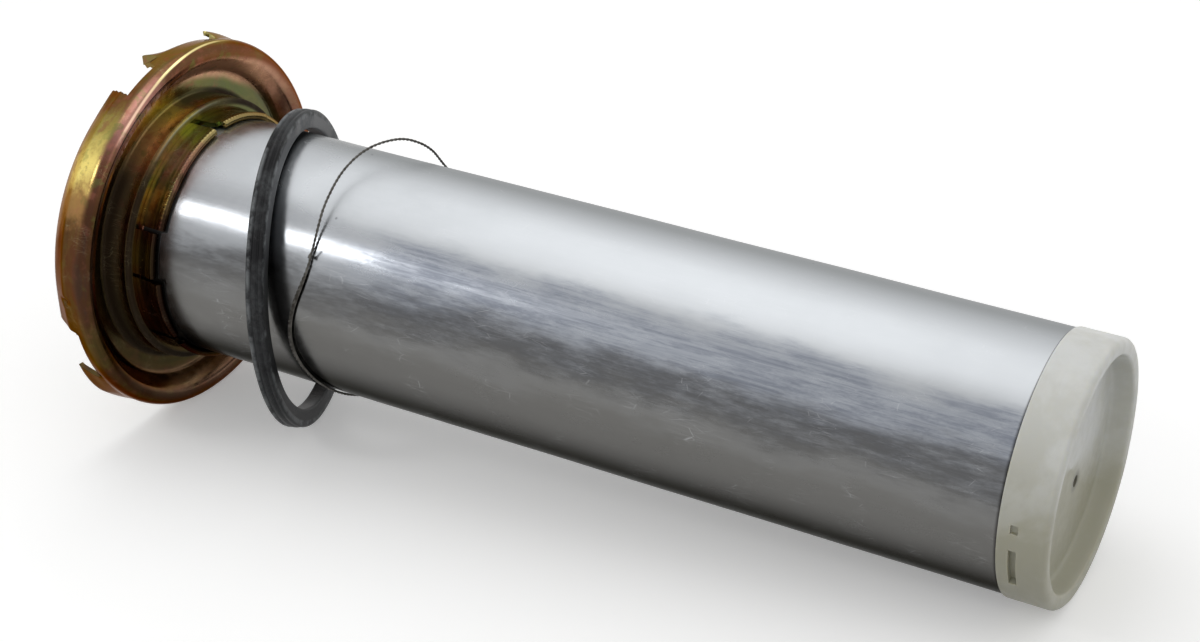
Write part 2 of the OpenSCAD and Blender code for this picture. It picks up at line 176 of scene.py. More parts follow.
class Bench:
    """A node tree being wired, with short calls that add a node and join it."""

    def __init__(self, tree: bpy.types.NodeTree) -> None:
        """Starts work on a node tree."""
        self.tree = tree
        self.count = 0

    def add(self, kind: str, **settings: object) -> bpy.types.Node:
        """Adds a node.

        Args:
            kind: The node's type name.
            **settings: Properties to set on it.

        Returns:
            The new node.
        """
        made = self.tree.nodes.new(kind)
        made.location = (220 * (self.count // 5) - 2400, 260 - 220 * (self.count % 5))
        self.count += 1
        for name, value in settings.items():
            setattr(made, name, value)
        return made

    def join(self, source: Value, target: bpy.types.NodeSocket) -> None:
        """Links a term to a socket, or writes a plain number or colour on it.

        Args:
            source: The term, number or colour.
            target: The input that takes it.
        """
        if isinstance(source, Term):
            self.tree.links.new(source.socket, target)
        elif target.type == "RGBA":
            target.default_value = (*source, 1.0)
        else:
            target.default_value = source

    def fill(self, node: bpy.types.Node, **values: Value) -> None:
        """Joins values to a node's inputs by name.

        Args:
            node: The node, or the shader.
            **values: What goes into its inputs, with _ for a space.
        """
        for name, value in values.items():
            self.join(value, node.inputs[name.replace("_", " ")])

    def put(
        self, kind: str, values: Iterable[Value], output: int | str = 0, **settings: object
    ) -> Term:
        """Adds a node and fills its first inputs.

        Args:
            kind: The node's type name.
            values: What goes into its inputs, in their order.
            output: Which of its outputs is wanted.
            **settings: Properties to set on it.

        Returns:
            The wanted output.
        """
        made = self.add(kind, **settings)
        for value, target in zip(values, made.inputs):
            self.join(value, target)
        return Term(self, made.outputs[output])

    def sum(self, operation: str, *values: Value, clamp: bool = False) -> Term:
        """Does one sum on numbers.

        Args:
            operation: The Math node's operation.
            *values: Terms or plain numbers, in the node's order.
            clamp: Whether the result stays from 0 to 1.

        Returns:
            The result.
        """
        return self.put("ShaderNodeMath", values, operation=operation, use_clamp=clamp)

    def spread(
        self, value: Value, low: Value, high: Value, start: Value = 0.0, end: Value = 1.0
    ) -> Term:
        """Eases a value from one range to another.

        Args:
            value: The number to place.
            low: Where the result is start.
            high: Where the result is end.
            start: Result at low.
            end: Result at high.

        Returns:
            The eased value.
        """
        values = (value, low, high, start, end)
        return self.put("ShaderNodeMapRange", values, interpolation_type="SMOOTHSTEP")

    def mix(self, mask: Value, first: Value, second: Value) -> Term:
        """Mixes two colours.

        Args:
            mask: Share of the second colour.
            first: Colour where the mask is 0.
            second: Colour where the mask is 1.

        Returns:
            The mixed colour.
        """
        made = self.add("ShaderNodeMix", data_type="RGBA")
        for value, socket in ((mask, "Factor_Float"), (first, "A_Color"), (second, "B_Color")):
            self.join(value, next(s for s in made.inputs if s.identifier == socket))
        return Term(self, next(s for s in made.outputs if s.enabled))

    def ramp(self, value: Value, stops: Tones) -> Term:
        """Turns a number into a colour.

        Args:
            value: The number that runs along the ramp.
            stops: Place and colour of each stop.

        Returns:
            The colour.
        """
        made = self.add("ShaderNodeValToRGB")
        made.color_ramp.interpolation = "EASE"
        marks = made.color_ramp.elements
        while len(marks) < len(stops):
            marks.new(0.5)
        for mark, (place, _) in zip(marks, stops):
            mark.position = place
        for mark, (_, colour) in zip(marks, stops):
            mark.color = (*colour, 1.0)
        self.join(value, made.inputs[0])
        return Term(self, made.outputs[0])

    def scaled(self, place: Term, scale: tuple[float, float, float]) -> Term:
        """Stretches a position by a factor for each axis."""
        return self.put("ShaderNodeVectorMath", (place, scale), operation="MULTIPLY")

    def vector(self, x: Value, y: Value, z: Value = 0.0) -> Term:
        """Joins three numbers into one position."""
        return self.put("ShaderNodeCombineXYZ", (x, y, z))

    def parts(self, place: Term) -> tuple[Term, ...]:
        """Takes a position apart into its three numbers."""
        made = self.put("ShaderNodeSeparateXYZ", (place,)).socket.node
        return tuple(Term(self, socket) for socket in made.outputs)

    def noise(
        self, place: Term, scale: Value, detail: float = 3.0, rough: float = 0.5, warp: float = 0.0
    ) -> Term:
        """Cloudy noise.

        Args:
            place: The position it is read at.
            scale: How close its clouds stand.
            detail: Number of finer layers.
            rough: Strength of the finer layers.
            warp: How far the clouds are pushed about.

        Returns:
            The noise, about 0.5 on average.
        """
        made = self.add("ShaderNodeTexNoise")
        self.fill(made, Vector=place, Scale=scale, Detail=detail, Roughness=rough, Distortion=warp)
        return Term(self, made.outputs[0])

    def cells(self, place: Term, scale: Value, feature: str = "F1") -> Term:
        """Measures how far scattered points are.

        Args:
            place: The position it is read at.
            scale: How close the points stand.
            feature: F1 for the points themselves, DISTANCE_TO_EDGE for the borders between them.

        Returns:
            The distance.
        """
        made = self.add("ShaderNodeTexVoronoi", feature=feature)
        self.fill(made, Vector=place, Scale=scale)
        return Term(self, made.outputs["Distance"])

    def place(self) -> Term:
        """Position on the piece in millimetres."""
        return self.scaled(self.put("ShaderNodeTexCoord", (), "Object"), (1000, 1000, 1000))

    def attribute(self, name: str) -> Term:
        """A number stored on the piece's points."""
        return self.put("ShaderNodeAttribute", (), "Fac", attribute_name=name)

    def window(self, value: Term, limits: Window) -> Term:
        """Share that rises between the first two limits and falls between the last two."""
        rise = self.spread(value, limits[0], limits[1])
        return rise * self.spread(value, limits[2], limits[3], 1.0, 0.0)

    def facing(self, clock: Term, middle: float, width: float) -> Term:
        """Share that is 1 at a clock angle and fades to 0 at a width to either side."""
        near = self.sum("COSINE", self.sum("RADIANS", clock - middle))
        return self.spread(near, math.cos(math.radians(width)), math.cos(math.radians(width / 4)))

    def round_tones(self, clock: Term, tones: Tones) -> Term:
        """Colour that changes round the clock, from a few (clock angle, colour) tones."""
        ring = [*tones, (360, tones[0][1])]
        return self.ramp(clock / 360.0, [(at / 360, tone) for at, tone in ring])

    def bump(self, height: Term, strength: float, depth: float) -> Term:
        """Turns a height into a bent normal.

        Args:
            height: The height.
            strength: How much of it shows.
            depth: Height of a full step, in millimetres.

        Returns:
            The normal.
        """
        made = self.add("ShaderNodeBump")
        self.fill(made, Strength=strength, Distance=depth * MM, Height=height)
        return Term(self, made.outputs["Normal"])

    def seen(self) -> Term:
        """Tells what is looked at from what only lights.

        Returns:
            Share that is 1 for what the eye, reflections and glass see, and 0 for lighting.
        """
        rays = self.add("ShaderNodeLightPath").outputs
        eye, glossy, glass = (
            Term(self, rays[f"Is {kind} Ray"]) for kind in ("Camera", "Glossy", "Transmission")
        )
        return self.sum("MAXIMUM", self.sum("MAXIMUM", eye, glossy), glass)

    def group(self, effect: "SharedEffect", **values: Value) -> Spots:
        """Places a shared group.

        Args:
            effect: The shared effect.
            **values: What goes into its inputs.

        Returns:
            Its outputs by name.
        """
        made = self.add("ShaderNodeGroup", node_tree=effect.tree())
        self.fill(made, **values)
        return {socket.name: Term(self, socket) for socket in made.outputs}


@dataclass(frozen=True)
class SharedEffect:
    """A node group that several finishes use. It is built once."""

    name: str
    inputs: tuple[tuple[str, float | None], ...]
    outputs: tuple[str, ...]
    wire: Callable[[Bench, Spots], tuple[Term, ...]]

    def tree(self) -> bpy.types.NodeTree:
        """Makes the group with its sockets at first use. An input without a number is a place.

        Returns:
            The group's own tree.
        """
        if self.name in bpy.data.node_groups:
            return bpy.data.node_groups[self.name]
        tree = bpy.data.node_groups.new(self.name, "ShaderNodeTree")
        for label, usual in self.inputs:
            kind = "NodeSocketVector" if usual is None else "NodeSocketFloat"
            socket = tree.interface.new_socket(label, in_out="INPUT", socket_type=kind)
            if usual is not None:
                socket.default_value = usual
        for label in self.outputs:
            tree.interface.new_socket(label, in_out="OUTPUT", socket_type="NodeSocketFloat")
        bench = Bench(tree)
        start = bench.add("NodeGroupInput")
        end = bench.add("NodeGroupOutput")
        made = self.wire(bench, {s.name: Term(bench, s) for s in start.outputs})
        bench.fill(end, **dict(zip(self.outputs, made)))
        return tree


def wire_round_place(bench: Bench, given: Spots) -> tuple[Term, ...]:
    """Works out where a point lies about the tube's axis.

    Args:
        bench: The group's node tree.
        given: Its input, Place.

    Returns:
        Distance along, distance from the axis, and clock angle in degrees.
    """
    x, y, z = bench.parts(given["Place"])
    turn = bench.sum("ARCTAN2", z, y) * (180 / math.pi)
    return x, bench.sum("SQRT", y * y + z * z), turn % 360.0


def wire_patches(bench: Bench, given: Spots) -> tuple[Term, ...]:
    """Makes irregular patches.

    Args:
        bench: The group's node tree.
        given: Its inputs: Place, Scale, and Cover, the share that the patches take.

    Returns:
        The patches' mask, and their finer mottling.
    """
    broad = bench.noise(given["Place"], given["Scale"], 5, 0.62, 0.5)
    fine = bench.noise(given["Place"], given["Scale"] * 9.0, 4)
    edge = 1.09 - given["Cover"]
    return bench.spread(broad + fine * 0.18, edge - 0.14, edge + 0.10), fine


def wire_handling(bench: Bench, given: Spots) -> tuple[Term, ...]:
    """Makes the marks of handling.

    Args:
        bench: The group's node tree.
        given: Its inputs: Place, Spacing of the marks in millimetres, and Amount.

    Returns:
        A mask of hairline scratches, and one of small pits.
    """
    scale = 1.0 / given["Spacing"]
    lines = []
    for turn, stretch in ((0.35, 6.0), (-0.8, 9.0)):
        lay = bench.add("ShaderNodeMapping")
        lay.inputs["Rotation"].default_value = (0.4 * turn, 0.2, turn)
        lay.inputs["Scale"].default_value = (1.0, stretch, stretch)
        bench.fill(lay, Vector=given["Place"])
        web = bench.cells(Term(bench, lay.outputs[0]), scale, "DISTANCE_TO_EDGE")
        lines.append(bench.spread(web, 0.0, 0.012, 1.0, 0.0))
    broken = bench.spread(bench.noise(given["Place"], 0.13, 2), 0.52, 0.66)
    scratch = bench.sum("MAXIMUM", *lines) * broken
    pit = bench.spread(bench.cells(given["Place"], scale * 1.7), 0.03, 0.075, 1.0, 0.0)
    few = bench.spread(bench.noise(given["Place"], 0.21, 1), 0.60, 0.66)
    return scratch * given["Amount"], pit * few * given["Amount"]


def wire_grain(bench: Bench, given: Spots) -> tuple[Term, ...]:
    """Draws lines along the tube's axis.

    Args:
        bench: The group's node tree.
        given: Its inputs, Place and Scale.

    Returns:
        The lines, about 0.5 on average.
    """
    drawn = bench.scaled(given["Place"], (0.02, 1.0, 1.0))
    return (bench.noise(drawn, given["Scale"], 4, 0.65),)


ROUND_PLACE = SharedEffect(
    "round_place", (("Place", None),), ("Along", "Radius", "Clock"), wire_round_place
)
PATCHES = SharedEffect(
    "patches", (("Place", None), ("Scale", 0.05), ("Cover", 0.5)), ("Mask", "Mottle"), wire_patches
)
HANDLING = SharedEffect(
    "handling_marks",
    (("Place", None), ("Spacing", 8.0), ("Amount", 0.5)),
    ("Scratch", "Pit"),
    wire_handling,
)
GRAIN = SharedEffect("drawn_grain", (("Place", None), ("Scale", 3.0)), ("Lines",), wire_grain)


# Finishes


@dataclass(frozen=True)
class Finish:
    """A surface finish. Each kind wires its own nodes in dress()."""

    name: str

    def dress(self, bench: Bench, shader: bpy.types.Node) -> None:
        """Wires the finish into the shader.

        Args:
            bench: The material's node tree.
            shader: Its Principled BSDF.
        """
        raise NotImplementedError

    def material(self) -> bpy.types.Material:
        """The finish's material, made at first use.

        Returns:
            The material.
        """
        if self.name in bpy.data.materials:
            return bpy.data.materials[self.name]
        made = bpy.data.materials.new(self.name)
        made.use_nodes = True
        self.dress(Bench(made.node_tree), made.node_tree.nodes["Principled BSDF"])
        return made


@dataclass(frozen=True)
class ZincFilm(Finish):
    """Yellow passivated zinc: olive, gold-brown, rose and violet film colours."""

    drift: float = 0.0
    rough: float = 0.17

    FILM = (
        (0.00, (0.090, 0.088, 0.026)),
        (0.20, (0.170, 0.140, 0.036)),
        (0.36, (0.270, 0.185, 0.050)),
        (0.50, (0.190, 0.095, 0.035)),
        (0.62, (0.200, 0.085, 0.050)),
        (0.74, (0.140, 0.085, 0.070)),
        (0.87, (0.115, 0.125, 0.048)),
        (1.00, (0.280, 0.230, 0.075)),
    )
    SCRATCHED = (0.42, 0.36, 0.22)
    PITTED = (0.03, 0.02, 0.012)
    EDGE_TINT = (0.56, 0.41, 0.36)
    TABLE_SHARE = 0.86

    def wear(self, bench: Bench, colour: Term, spot: Spots, broad: Term) -> Term:
        """Local wear of the film.

        Args:
            bench: The material's node tree.
            colour: The film's own colour.
            spot: Place along, distance from the axis and clock angle.
            broad: Broad clouds that break up any border.

        Returns:
            The worn colour, here the same one.
        """
        return colour

    def bare(self, bench: Bench, spot: Spots) -> Value:
        """Share of clear, metallic film. The rest is chalky."""
        return 1.0

    def dress(self, bench: Bench, shader: bpy.types.Node) -> None:
        """Wires film colours, wear, marks and a fine bump.

        Args:
            bench: The material's node tree.
            shader: Its Principled BSDF.
        """
        place = bench.place()
        spot = bench.group(ROUND_PLACE, Place=place)
        broad = bench.noise(place, 0.045, 2)
        ringed = bench.vector(spot["Along"] * 0.34, spot["Radius"] * 0.34, broad * 2.6)
        bands = bench.noise(ringed, 1.0, 3, 0.55)
        fine = bench.noise(place, 0.5, 5, 0.6)
        tone = (bands - 0.5) * 2.0 + (broad - 0.5) * 1.3 + fine * 0.16 + (0.36 + self.drift)
        colour = self.wear(bench, bench.ramp(tone, self.FILM), spot, broad)
        marks = bench.group(HANDLING, Place=place, Spacing=7.0, Amount=0.5)
        colour = bench.mix(marks["Scratch"], colour, self.SCRATCHED)
        colour = bench.mix(marks["Pit"], colour, self.PITTED)
        bare = self.bare(bench, spot)
        gloss = bench.spread(fine, 0.3, 0.75, self.rough - 0.04, self.rough + 0.09)
        height = bench.noise(place, 2.2, 4, 0.6) + bands * 0.8 - marks["Pit"] * 1.5
        bench.fill(
            shader,
            Base_Color=colour,
            Metallic=bare,
            Specular_Tint=self.EDGE_TINT,
            Specular_IOR_Level=0.15,
            Roughness=gloss + bench.sum("SUBTRACT", 1.0, bare) * 0.55,
            Normal=bench.bump(height, 0.22, 0.05),
        )


@dataclass(frozen=True)
class FlangeZinc(ZincFilm):
    """The flange's film, which turns from gold to red-brown round the skirt, bead and well. Its
    tones round the clock are partly the film's colours and partly painted highlights and painted
    shade.
    """

    # Tones round the clock, partly the film's own colours and partly painted light: the pale gold,
    # pink and yellowish stops are painted highlights, the dark stops past about 150 degrees are
    # painted shade, and the well is painted lighter to make up for the shade in its hollow.
    SKIRT_FILM_AND_PAINTED_LIGHT = (
        (50, (0.150, 0.090, 0.045)),
        (67, (0.320, 0.280, 0.100)),
        (95, (0.200, 0.150, 0.055)),
        (114, (0.140, 0.065, 0.032)),
        (126, (0.330, 0.270, 0.075)),
        (139, (0.980, 0.800, 0.240)),
        (148, (0.340, 0.190, 0.070)),
        (159, (0.078, 0.031, 0.017)),
        (216, (0.055, 0.040, 0.018)),
    )
    BEAD_FILM_AND_PAINTED_LIGHT = (
        (50, (0.170, 0.062, 0.034)),
        (100, (0.110, 0.046, 0.026)),
        (118, (0.420, 0.200, 0.170)),
        (138, (0.090, 0.036, 0.020)),
        (154, (0.036, 0.016, 0.008)),
        (216, (0.024, 0.014, 0.007)),
    )
    WELL_FILM_AND_PAINTED_LIGHT = (
        (24, (0.200, 0.090, 0.055)),
        (56, (0.640, 0.360, 0.230)),
        (94, (0.660, 0.340, 0.240)),
        (115, (0.940, 0.560, 0.500)),
        (133, (0.600, 0.330, 0.260)),
        (146, (0.260, 0.140, 0.090)),
        (216, (0.090, 0.060, 0.038)),
    )
    SEAT_FILM_AND_PAINTED_LIGHT = (
        (60, (0.100, 0.120, 0.060)),
        (88, (0.150, 0.140, 0.060)),
        (98, (0.560, 0.460, 0.110)),
        (120, (0.460, 0.290, 0.120)),
        (138, (0.140, 0.105, 0.050)),
        (216, (0.060, 0.045, 0.026)),
    )
    SKIRT_TO_BEAD = (8.6, 10.6)
    BEAD_TO_WELL = (12.8, 14.6)
    WELL_TO_SEAT = (18.6, 21.0)
    FLECK_GREEN = (0.120, 0.150, 0.040)
    FLECK_ROSE = (0.260, 0.095, 0.065)
    # Painted highlight: a paler free edge of the skirt on the left side.
    RIM_HIGHLIGHT_CLOCK = (112.0, 126.0, 150.0, 176.0)
    RIM_HIGHLIGHT_TONE = (0.460, 0.360, 0.280)
    # Painted highlight: a pale stripe along the bead's crest on the upper side, where a lamp
    # reflects.
    CREST_HIGHLIGHT_CLOCK = (64.0, 80.0, 120.0, 132.0)
    CREST_HIGHLIGHT_TONES = ((0.98, 0.86, 0.40), (0.98, 0.66, 0.48))
    # Painted highlight on the neck's lip, strongest at clock 104.
    LIP_RUN = (29.7, 29.9, 30.1, 30.4)
    LIP_HIGHLIGHT_TONE = (0.50, 0.56, 0.46)
    # Painted shade with some soiling in the seat's corner and under the neck's lip.
    SEAT_CORNER_RUN = (22.6, 23.8, 25.0, 28.4)
    NECK_SEAM_RUN = (28.8, 29.4, 30.5, 31.2)
    SEAM_SHADE_AND_DIRT = (0.030, 0.020, 0.011)
    PINK_CLOCK = (98.0, 110.0, 124.0, 140.0)
    PINK_RUN = (12.4, 14.0, 19.6, 22.6)
    WARM_CLOCK = (30.0, 60.0, 92.0, 106.0)
    WARM_RUN = (13.0, 16.0, 19.4, 20.6)

    def wear(self, bench: Bench, colour: Term, spot: Spots, broad: Term) -> Term:
        """Lays the zones' tones, flecks, painted highlights and painted seam shade over the film.

        Args:
            bench: The material's node tree.
            colour: The film's own colour.
            spot: Place along, distance from the axis and clock angle.
            broad: Broad clouds that break up the zones' borders.

        Returns:
            The worn colour.
        """
        place = bench.place()
        clock = spot["Clock"] + (bench.noise(place, 0.17, 5, 0.62) - 0.5) * 26.0
        run = bench.attribute("run")
        drifted = run + (broad - 0.5) * 5.0
        # Painted highlights and painted shade: the zones' tones change round the clock with the
        # light.
        zones = bench.round_tones(clock, self.SKIRT_FILM_AND_PAINTED_LIGHT)
        for border, tones in (
            (self.SKIRT_TO_BEAD, self.BEAD_FILM_AND_PAINTED_LIGHT),
            (self.BEAD_TO_WELL, self.WELL_FILM_AND_PAINTED_LIGHT),
            (self.WELL_TO_SEAT, self.SEAT_FILM_AND_PAINTED_LIGHT),
        ):
            past = bench.spread(drifted, *border)
            zones = bench.mix(past, zones, bench.round_tones(clock, tones))
        colour = bench.mix(self.TABLE_SHARE, colour, zones)
        spots = bench.noise(place, 0.34, 4, 0.6)
        fleck = bench.facing(spot["Clock"], 104.0, 62.0) * 0.36 + 0.10
        colour = bench.mix(bench.spread(spots, 0.54, 0.66) * fleck, colour, self.FLECK_GREEN)
        colour = bench.mix(bench.spread(spots, 0.46, 0.34) * fleck, colour, self.FLECK_ROSE)
        # Painted highlight on the skirt's free edge, on the left side only.
        rim_highlight = bench.spread(run, 2.6, 0.4) * bench.window(clock, self.RIM_HIGHLIGHT_CLOCK)
        colour = bench.mix(rim_highlight * 0.7, colour, self.RIM_HIGHLIGHT_TONE)
        # Painted highlight along the bead's crest.
        off_crest = abs(run - bench.spread(spot["Clock"], 70.0, 122.0, 10.1, 11.7))
        narrow = bench.spread(off_crest, 0.08, 0.42, 1.0, 0.0)
        crest_highlight = narrow * bench.window(clock, self.CREST_HIGHLIGHT_CLOCK)
        crest_highlight_tone = bench.mix(bench.spread(spot["Clock"], 98.0, 116.0), *self.CREST_HIGHLIGHT_TONES)
        colour = bench.mix(crest_highlight * 0.88, colour, crest_highlight_tone)
        # Painted shade, with some soiling, in the seams; weaker on the lit upper side.
        colour = bench.mix(self.seam_shade_and_dirt(bench, spot), colour, self.SEAM_SHADE_AND_DIRT)
        # Painted highlight on the neck's lip.
        lip = bench.window(run, self.LIP_RUN) * bench.facing(clock, 104.0, 26.0)
        return bench.mix(lip * 0.35, colour, self.LIP_HIGHLIGHT_TONE)

    def seam_shade_and_dirt(self, bench: Bench, spot: Spots) -> Term:
        """Finds the painted shade, with some soiling, in the seat's inner corner and under the
        neck's lip; it is weaker on the lit upper side.

        Args:
            bench: The material's node tree.
            spot: Place along, distance from the axis and clock angle.

        Returns:
            The mask of painted shade and soiling.
        """
        run = bench.attribute("run")
        corner = bench.window(run, self.SEAT_CORNER_RUN)
        seams = bench.sum("MAXIMUM", corner, bench.window(run, self.NECK_SEAM_RUN))
        lit = bench.facing(spot["Clock"], 100.0, 40.0)
        return seams * (1.0 - lit * 0.6)

    def bare(self, bench: Bench, spot: Spots) -> Term:
        """Lets the bead's inner slope turn chalky in streaks, and the painted seam shade with its
        soiling dull the seams.

        Args:
            bench: The material's node tree.
            spot: Place along, distance from the axis and clock angle.

        Returns:
            Share of clear, metallic film.
        """
        run = bench.attribute("run")
        lay = bench.vector(spot["Clock"] * 0.42, run * 0.07)
        streak = bench.spread(bench.noise(lay, 1.0, 3, 0.6), 0.44, 0.58, 0.15, 1.0)
        pink = bench.window(spot["Clock"], self.PINK_CLOCK) * bench.window(run, self.PINK_RUN)
        warm = bench.window(spot["Clock"], self.WARM_CLOCK) * bench.window(run, self.WARM_RUN)
        chalk = bench.sum("MAXIMUM", pink * streak, warm * 0.40) * 0.72
        return 1.0 - bench.sum("MAXIMUM", chalk, self.seam_shade_and_dirt(bench, spot))


@dataclass(frozen=True)
class CollarZinc(ZincFilm):
    """The collar's film: olive and red-brown fingers with a rolled edge, painted lighter on the
    upper side and darker on the lower side, most of all on the rolled edge, as painted highlights
    and painted shade.
    """

    # Tones round the clock, partly the film's own colours and partly painted light: painted
    # highlights on the upper side up to about 140 degrees, painted shade past it, darkest on the
    # rolled edge.
    SLEEVE_FILM_AND_PAINTED_LIGHT = (
        (60, (0.240, 0.190, 0.090)),
        (104, (0.280, 0.360, 0.130)),
        (118, (0.340, 0.260, 0.220)),
        (130, (0.240, 0.260, 0.110)),
        (140, (0.620, 0.460, 0.130)),
        (152, (0.120, 0.042, 0.034)),
        (170, (0.130, 0.100, 0.036)),
        (190, (0.120, 0.036, 0.030)),
        (216, (0.040, 0.026, 0.018)),
    )
    RIM_FILM_AND_PAINTED_LIGHT = (
        (60, (0.260, 0.190, 0.080)),
        (98, (0.280, 0.220, 0.090)),
        (112, (0.220, 0.120, 0.070)),
        (124, (0.170, 0.075, 0.050)),
        (136, (0.042, 0.024, 0.014)),
        (152, (0.014, 0.008, 0.005)),
        (216, (0.008, 0.005, 0.004)),
    )
    RIM_RUN = (17.2, 18.0)

    def wear(self, bench: Bench, colour: Term, spot: Spots, broad: Term) -> Term:
        """Lays the sleeve's and the rolled edge's tones over the film, with their painted
        highlights and painted shade.

        Args:
            bench: The material's node tree.
            colour: The film's own colour.
            spot: Place along, distance from the axis and clock angle.
            broad: Broad clouds, not needed here.

        Returns:
            The worn colour.
        """
        # Painted highlights and painted shade round the clock.
        clock = spot["Clock"] + (bench.noise(bench.place(), 0.22, 4, 0.6) - 0.5) * 34.0
        colour = bench.mix(self.TABLE_SHARE, colour, bench.round_tones(clock, self.SLEEVE_FILM_AND_PAINTED_LIGHT))
        rim = bench.spread(bench.attribute("run"), *self.RIM_RUN)
        return bench.mix(rim * 0.96, colour, bench.round_tones(clock, self.RIM_FILM_AND_PAINTED_LIGHT))


@dataclass(frozen=True)
class WornAluminium(Finish):
    """Polished tube with drawn lines, blue-grey smudges, scratches, and soiling with painted shade
    at the collar and cap. Painted light lies over its tones: a highlight stripe on the upper side,
    dark painted reflections among the smudges, and painted shade near the top edge and on the
    underside.
    """

    smudge_and_reflection_from: float = 128.0
    smudge_and_reflection_to: float = 166.0
    collar_end: float = 12.35
    tongue_end: float = 10.9
    tongue_clock: float = 45.5
    cap_start: float = 192.0

    POLISHED = ((0.378, 0.392, 0.410), (0.402, 0.416, 0.432))
    CLOUDED = (0.30, 0.312, 0.325)
    HAZED = (0.270, 0.285, 0.300)
    # Painted highlight: a lighter stripe on the upper side, from clock 84 to 118.
    PAINTED_TOP_LIGHT_CLOCK = (40.0, 84.0, 118.0, 134.0)
    PAINTED_TOP_LIGHT = (0.505, 0.525, 0.545)
    # Blue-grey smudges: partly real smudging, partly painted reflection of a dark surround.
    SMUDGE_AND_DARK_REFLECTION = (0.27, 0.30, 0.36)
    SMEAR_AND_DARK_REFLECTION = (0.140, 0.155, 0.190)
    # A darker stripe from clock 146 to 177: partly smudging, partly painted reflection of a dark
    # surround.
    LINE_CLOCK = (146.0, 157.0, 165.0, 177.0)
    SMUDGE_AND_REFLECTION_LINE = (0.082, 0.084, 0.090)
    # Painted shade: the underside is painted darker.
    PAINTED_UNDERSIDE_CLOCK = (142.0, 184.0, 325.0, 350.0)
    PAINTED_UNDERSIDE_SHADE = (0.106, 0.101, 0.091)
    SHADED_CLOCK = (190.0, 218.0, 318.0, 345.0)
    SHADED = (0.030, 0.028, 0.025)
    # Painted shade: a darker zone on the upper side near the top edge, from clock 40 to 96.
    PAINTED_UPPER_SHADE_CLOCK = (40.0, 60.0, 74.0, 96.0)
    PAINTED_UPPER_SHADE = (0.165, 0.175, 0.172)
    WHITE = (1.0, 1.0, 1.0)
    EDGE_TINT = (0.34, 0.34, 0.33)
    SCRATCHED = (0.60, 0.61, 0.63)
    PITTED = (0.07, 0.07, 0.08)
    GRIME_AND_SHADE = (0.012, 0.010, 0.008)

    def _grime_and_shade(self, bench: Bench, spot: Spots) -> Term:
        """Finds the dark seams at the cap, and along the collar's edge with its tongues: partly
        soiling, partly painted shade, which is stronger towards the lower side.

        Args:
            bench: The material's node tree.
            spot: Place along, distance from the axis and clock angle.

        Returns:
            The mask of soiling and painted shade.
        """
        third = (spot["Clock"] - (self.tongue_clock - 60)) % 120.0
        end = bench.spread(abs(third - 60.0), 11.0, 12.2, self.tongue_end, self.collar_end)
        past = spot["Along"] - end
        reach = self.cap_start - 0.30 + bench.facing(spot["Clock"], 168.0, 60.0) * -0.45
        seam = bench.spread(spot["Along"], reach, self.cap_start, 0.0, 0.85)
        thin = bench.spread(spot["Clock"], 128.0, 164.0, 0.35, 1.0)
        edge = bench.spread(past, 0.0, thin * 0.45, 1.0, 0.0)
        return bench.sum("MAXIMUM", edge * thin, seam)

    def _polish(self, bench: Bench, place: Term, spot: Spots) -> tuple[Term, Term, Term]:
        """Lays the polished metal's tones, with a painted highlight stripe on the upper side.

        Args:
            bench: The material's node tree.
            place: Position on the tube in millimetres.
            spot: Place along, distance from the axis and clock angle.

        Returns:
            The colour, the haze that dulls it, and the drawn lines.
        """
        lines = bench.group(GRAIN, Place=place, Scale=2.2)["Lines"]
        cloud = bench.group(PATCHES, Place=place, Scale=0.045, Cover=0.42)
        colour = bench.mix(bench.spread(lines, 0.3, 0.7), *self.POLISHED)
        colour = bench.mix(cloud["Mask"] * 0.40, colour, self.CLOUDED)
        near_ring = bench.spread(spot["Along"], 55.0, 90.0, 1.0, 0.25)
        haze = bench.noise(bench.scaled(place, (0.11, 0.19, 0.19)), 1.0, 5, 0.68)
        haze = bench.spread(haze, 0.36, 0.68) * near_ring
        colour = bench.mix(haze * 0.34, colour, self.HAZED)
        # Painted highlight stripe on the upper side.
        painted_top_light = bench.window(spot["Clock"], self.PAINTED_TOP_LIGHT_CLOCK)
        return bench.mix(painted_top_light * 0.8, colour, self.PAINTED_TOP_LIGHT), haze, lines

    def dress(self, bench: Bench, shader: bpy.types.Node) -> None:
        """Wires the tube's tones with their painted highlights, reflections and shade, streaks and
        gloss.

        Args:
            bench: The material's node tree.
            shader: Its Principled BSDF.
        """
        place = bench.place()
        spot = bench.group(ROUND_PLACE, Place=place)
        colour, haze, lines = self._polish(bench, place, spot)
        blotch = bench.noise(bench.scaled(place, (0.09, 0.46, 0.46)), 1.0, 8, 0.76)
        streaks = bench.noise(bench.scaled(place, (0.035, 1.25, 1.25)), 1.0, 5, 0.72)
        wisps = bench.noise(bench.scaled(place, (0.05, 0.16, 0.16)), 1.0, 4, 0.6)
        middle = 0.5 * (self.smudge_and_reflection_from + self.smudge_and_reflection_to)
        half = 0.5 * (self.smudge_and_reflection_to - self.smudge_and_reflection_from)
        angle = spot["Clock"] + (wisps - 0.5) * 26.0
        # Smudge zone from clock 128 to 166: partly real smudging, partly painted dark reflection.
        smudge_and_reflection_band = bench.spread(abs(angle - middle), half - 8, half + 4, 1.0, 0.0)
        smudge_and_reflection_band = smudge_and_reflection_band * bench.spread(spot["Along"], 44.0, 74.0, 0.10, 1.0)
        colour = bench.mix(smudge_and_reflection_band * 0.35, colour, self.SMUDGE_AND_DARK_REFLECTION)
        smear_and_reflection = smudge_and_reflection_band * bench.spread(streaks, 0.34, 0.60, 0.35, 1.0)
        smear_and_reflection = smear_and_reflection * bench.spread(blotch, 0.36, 0.58, 0.30, 1.0)
        colour = bench.mix(smear_and_reflection * 0.80, colour, self.SMEAR_AND_DARK_REFLECTION)
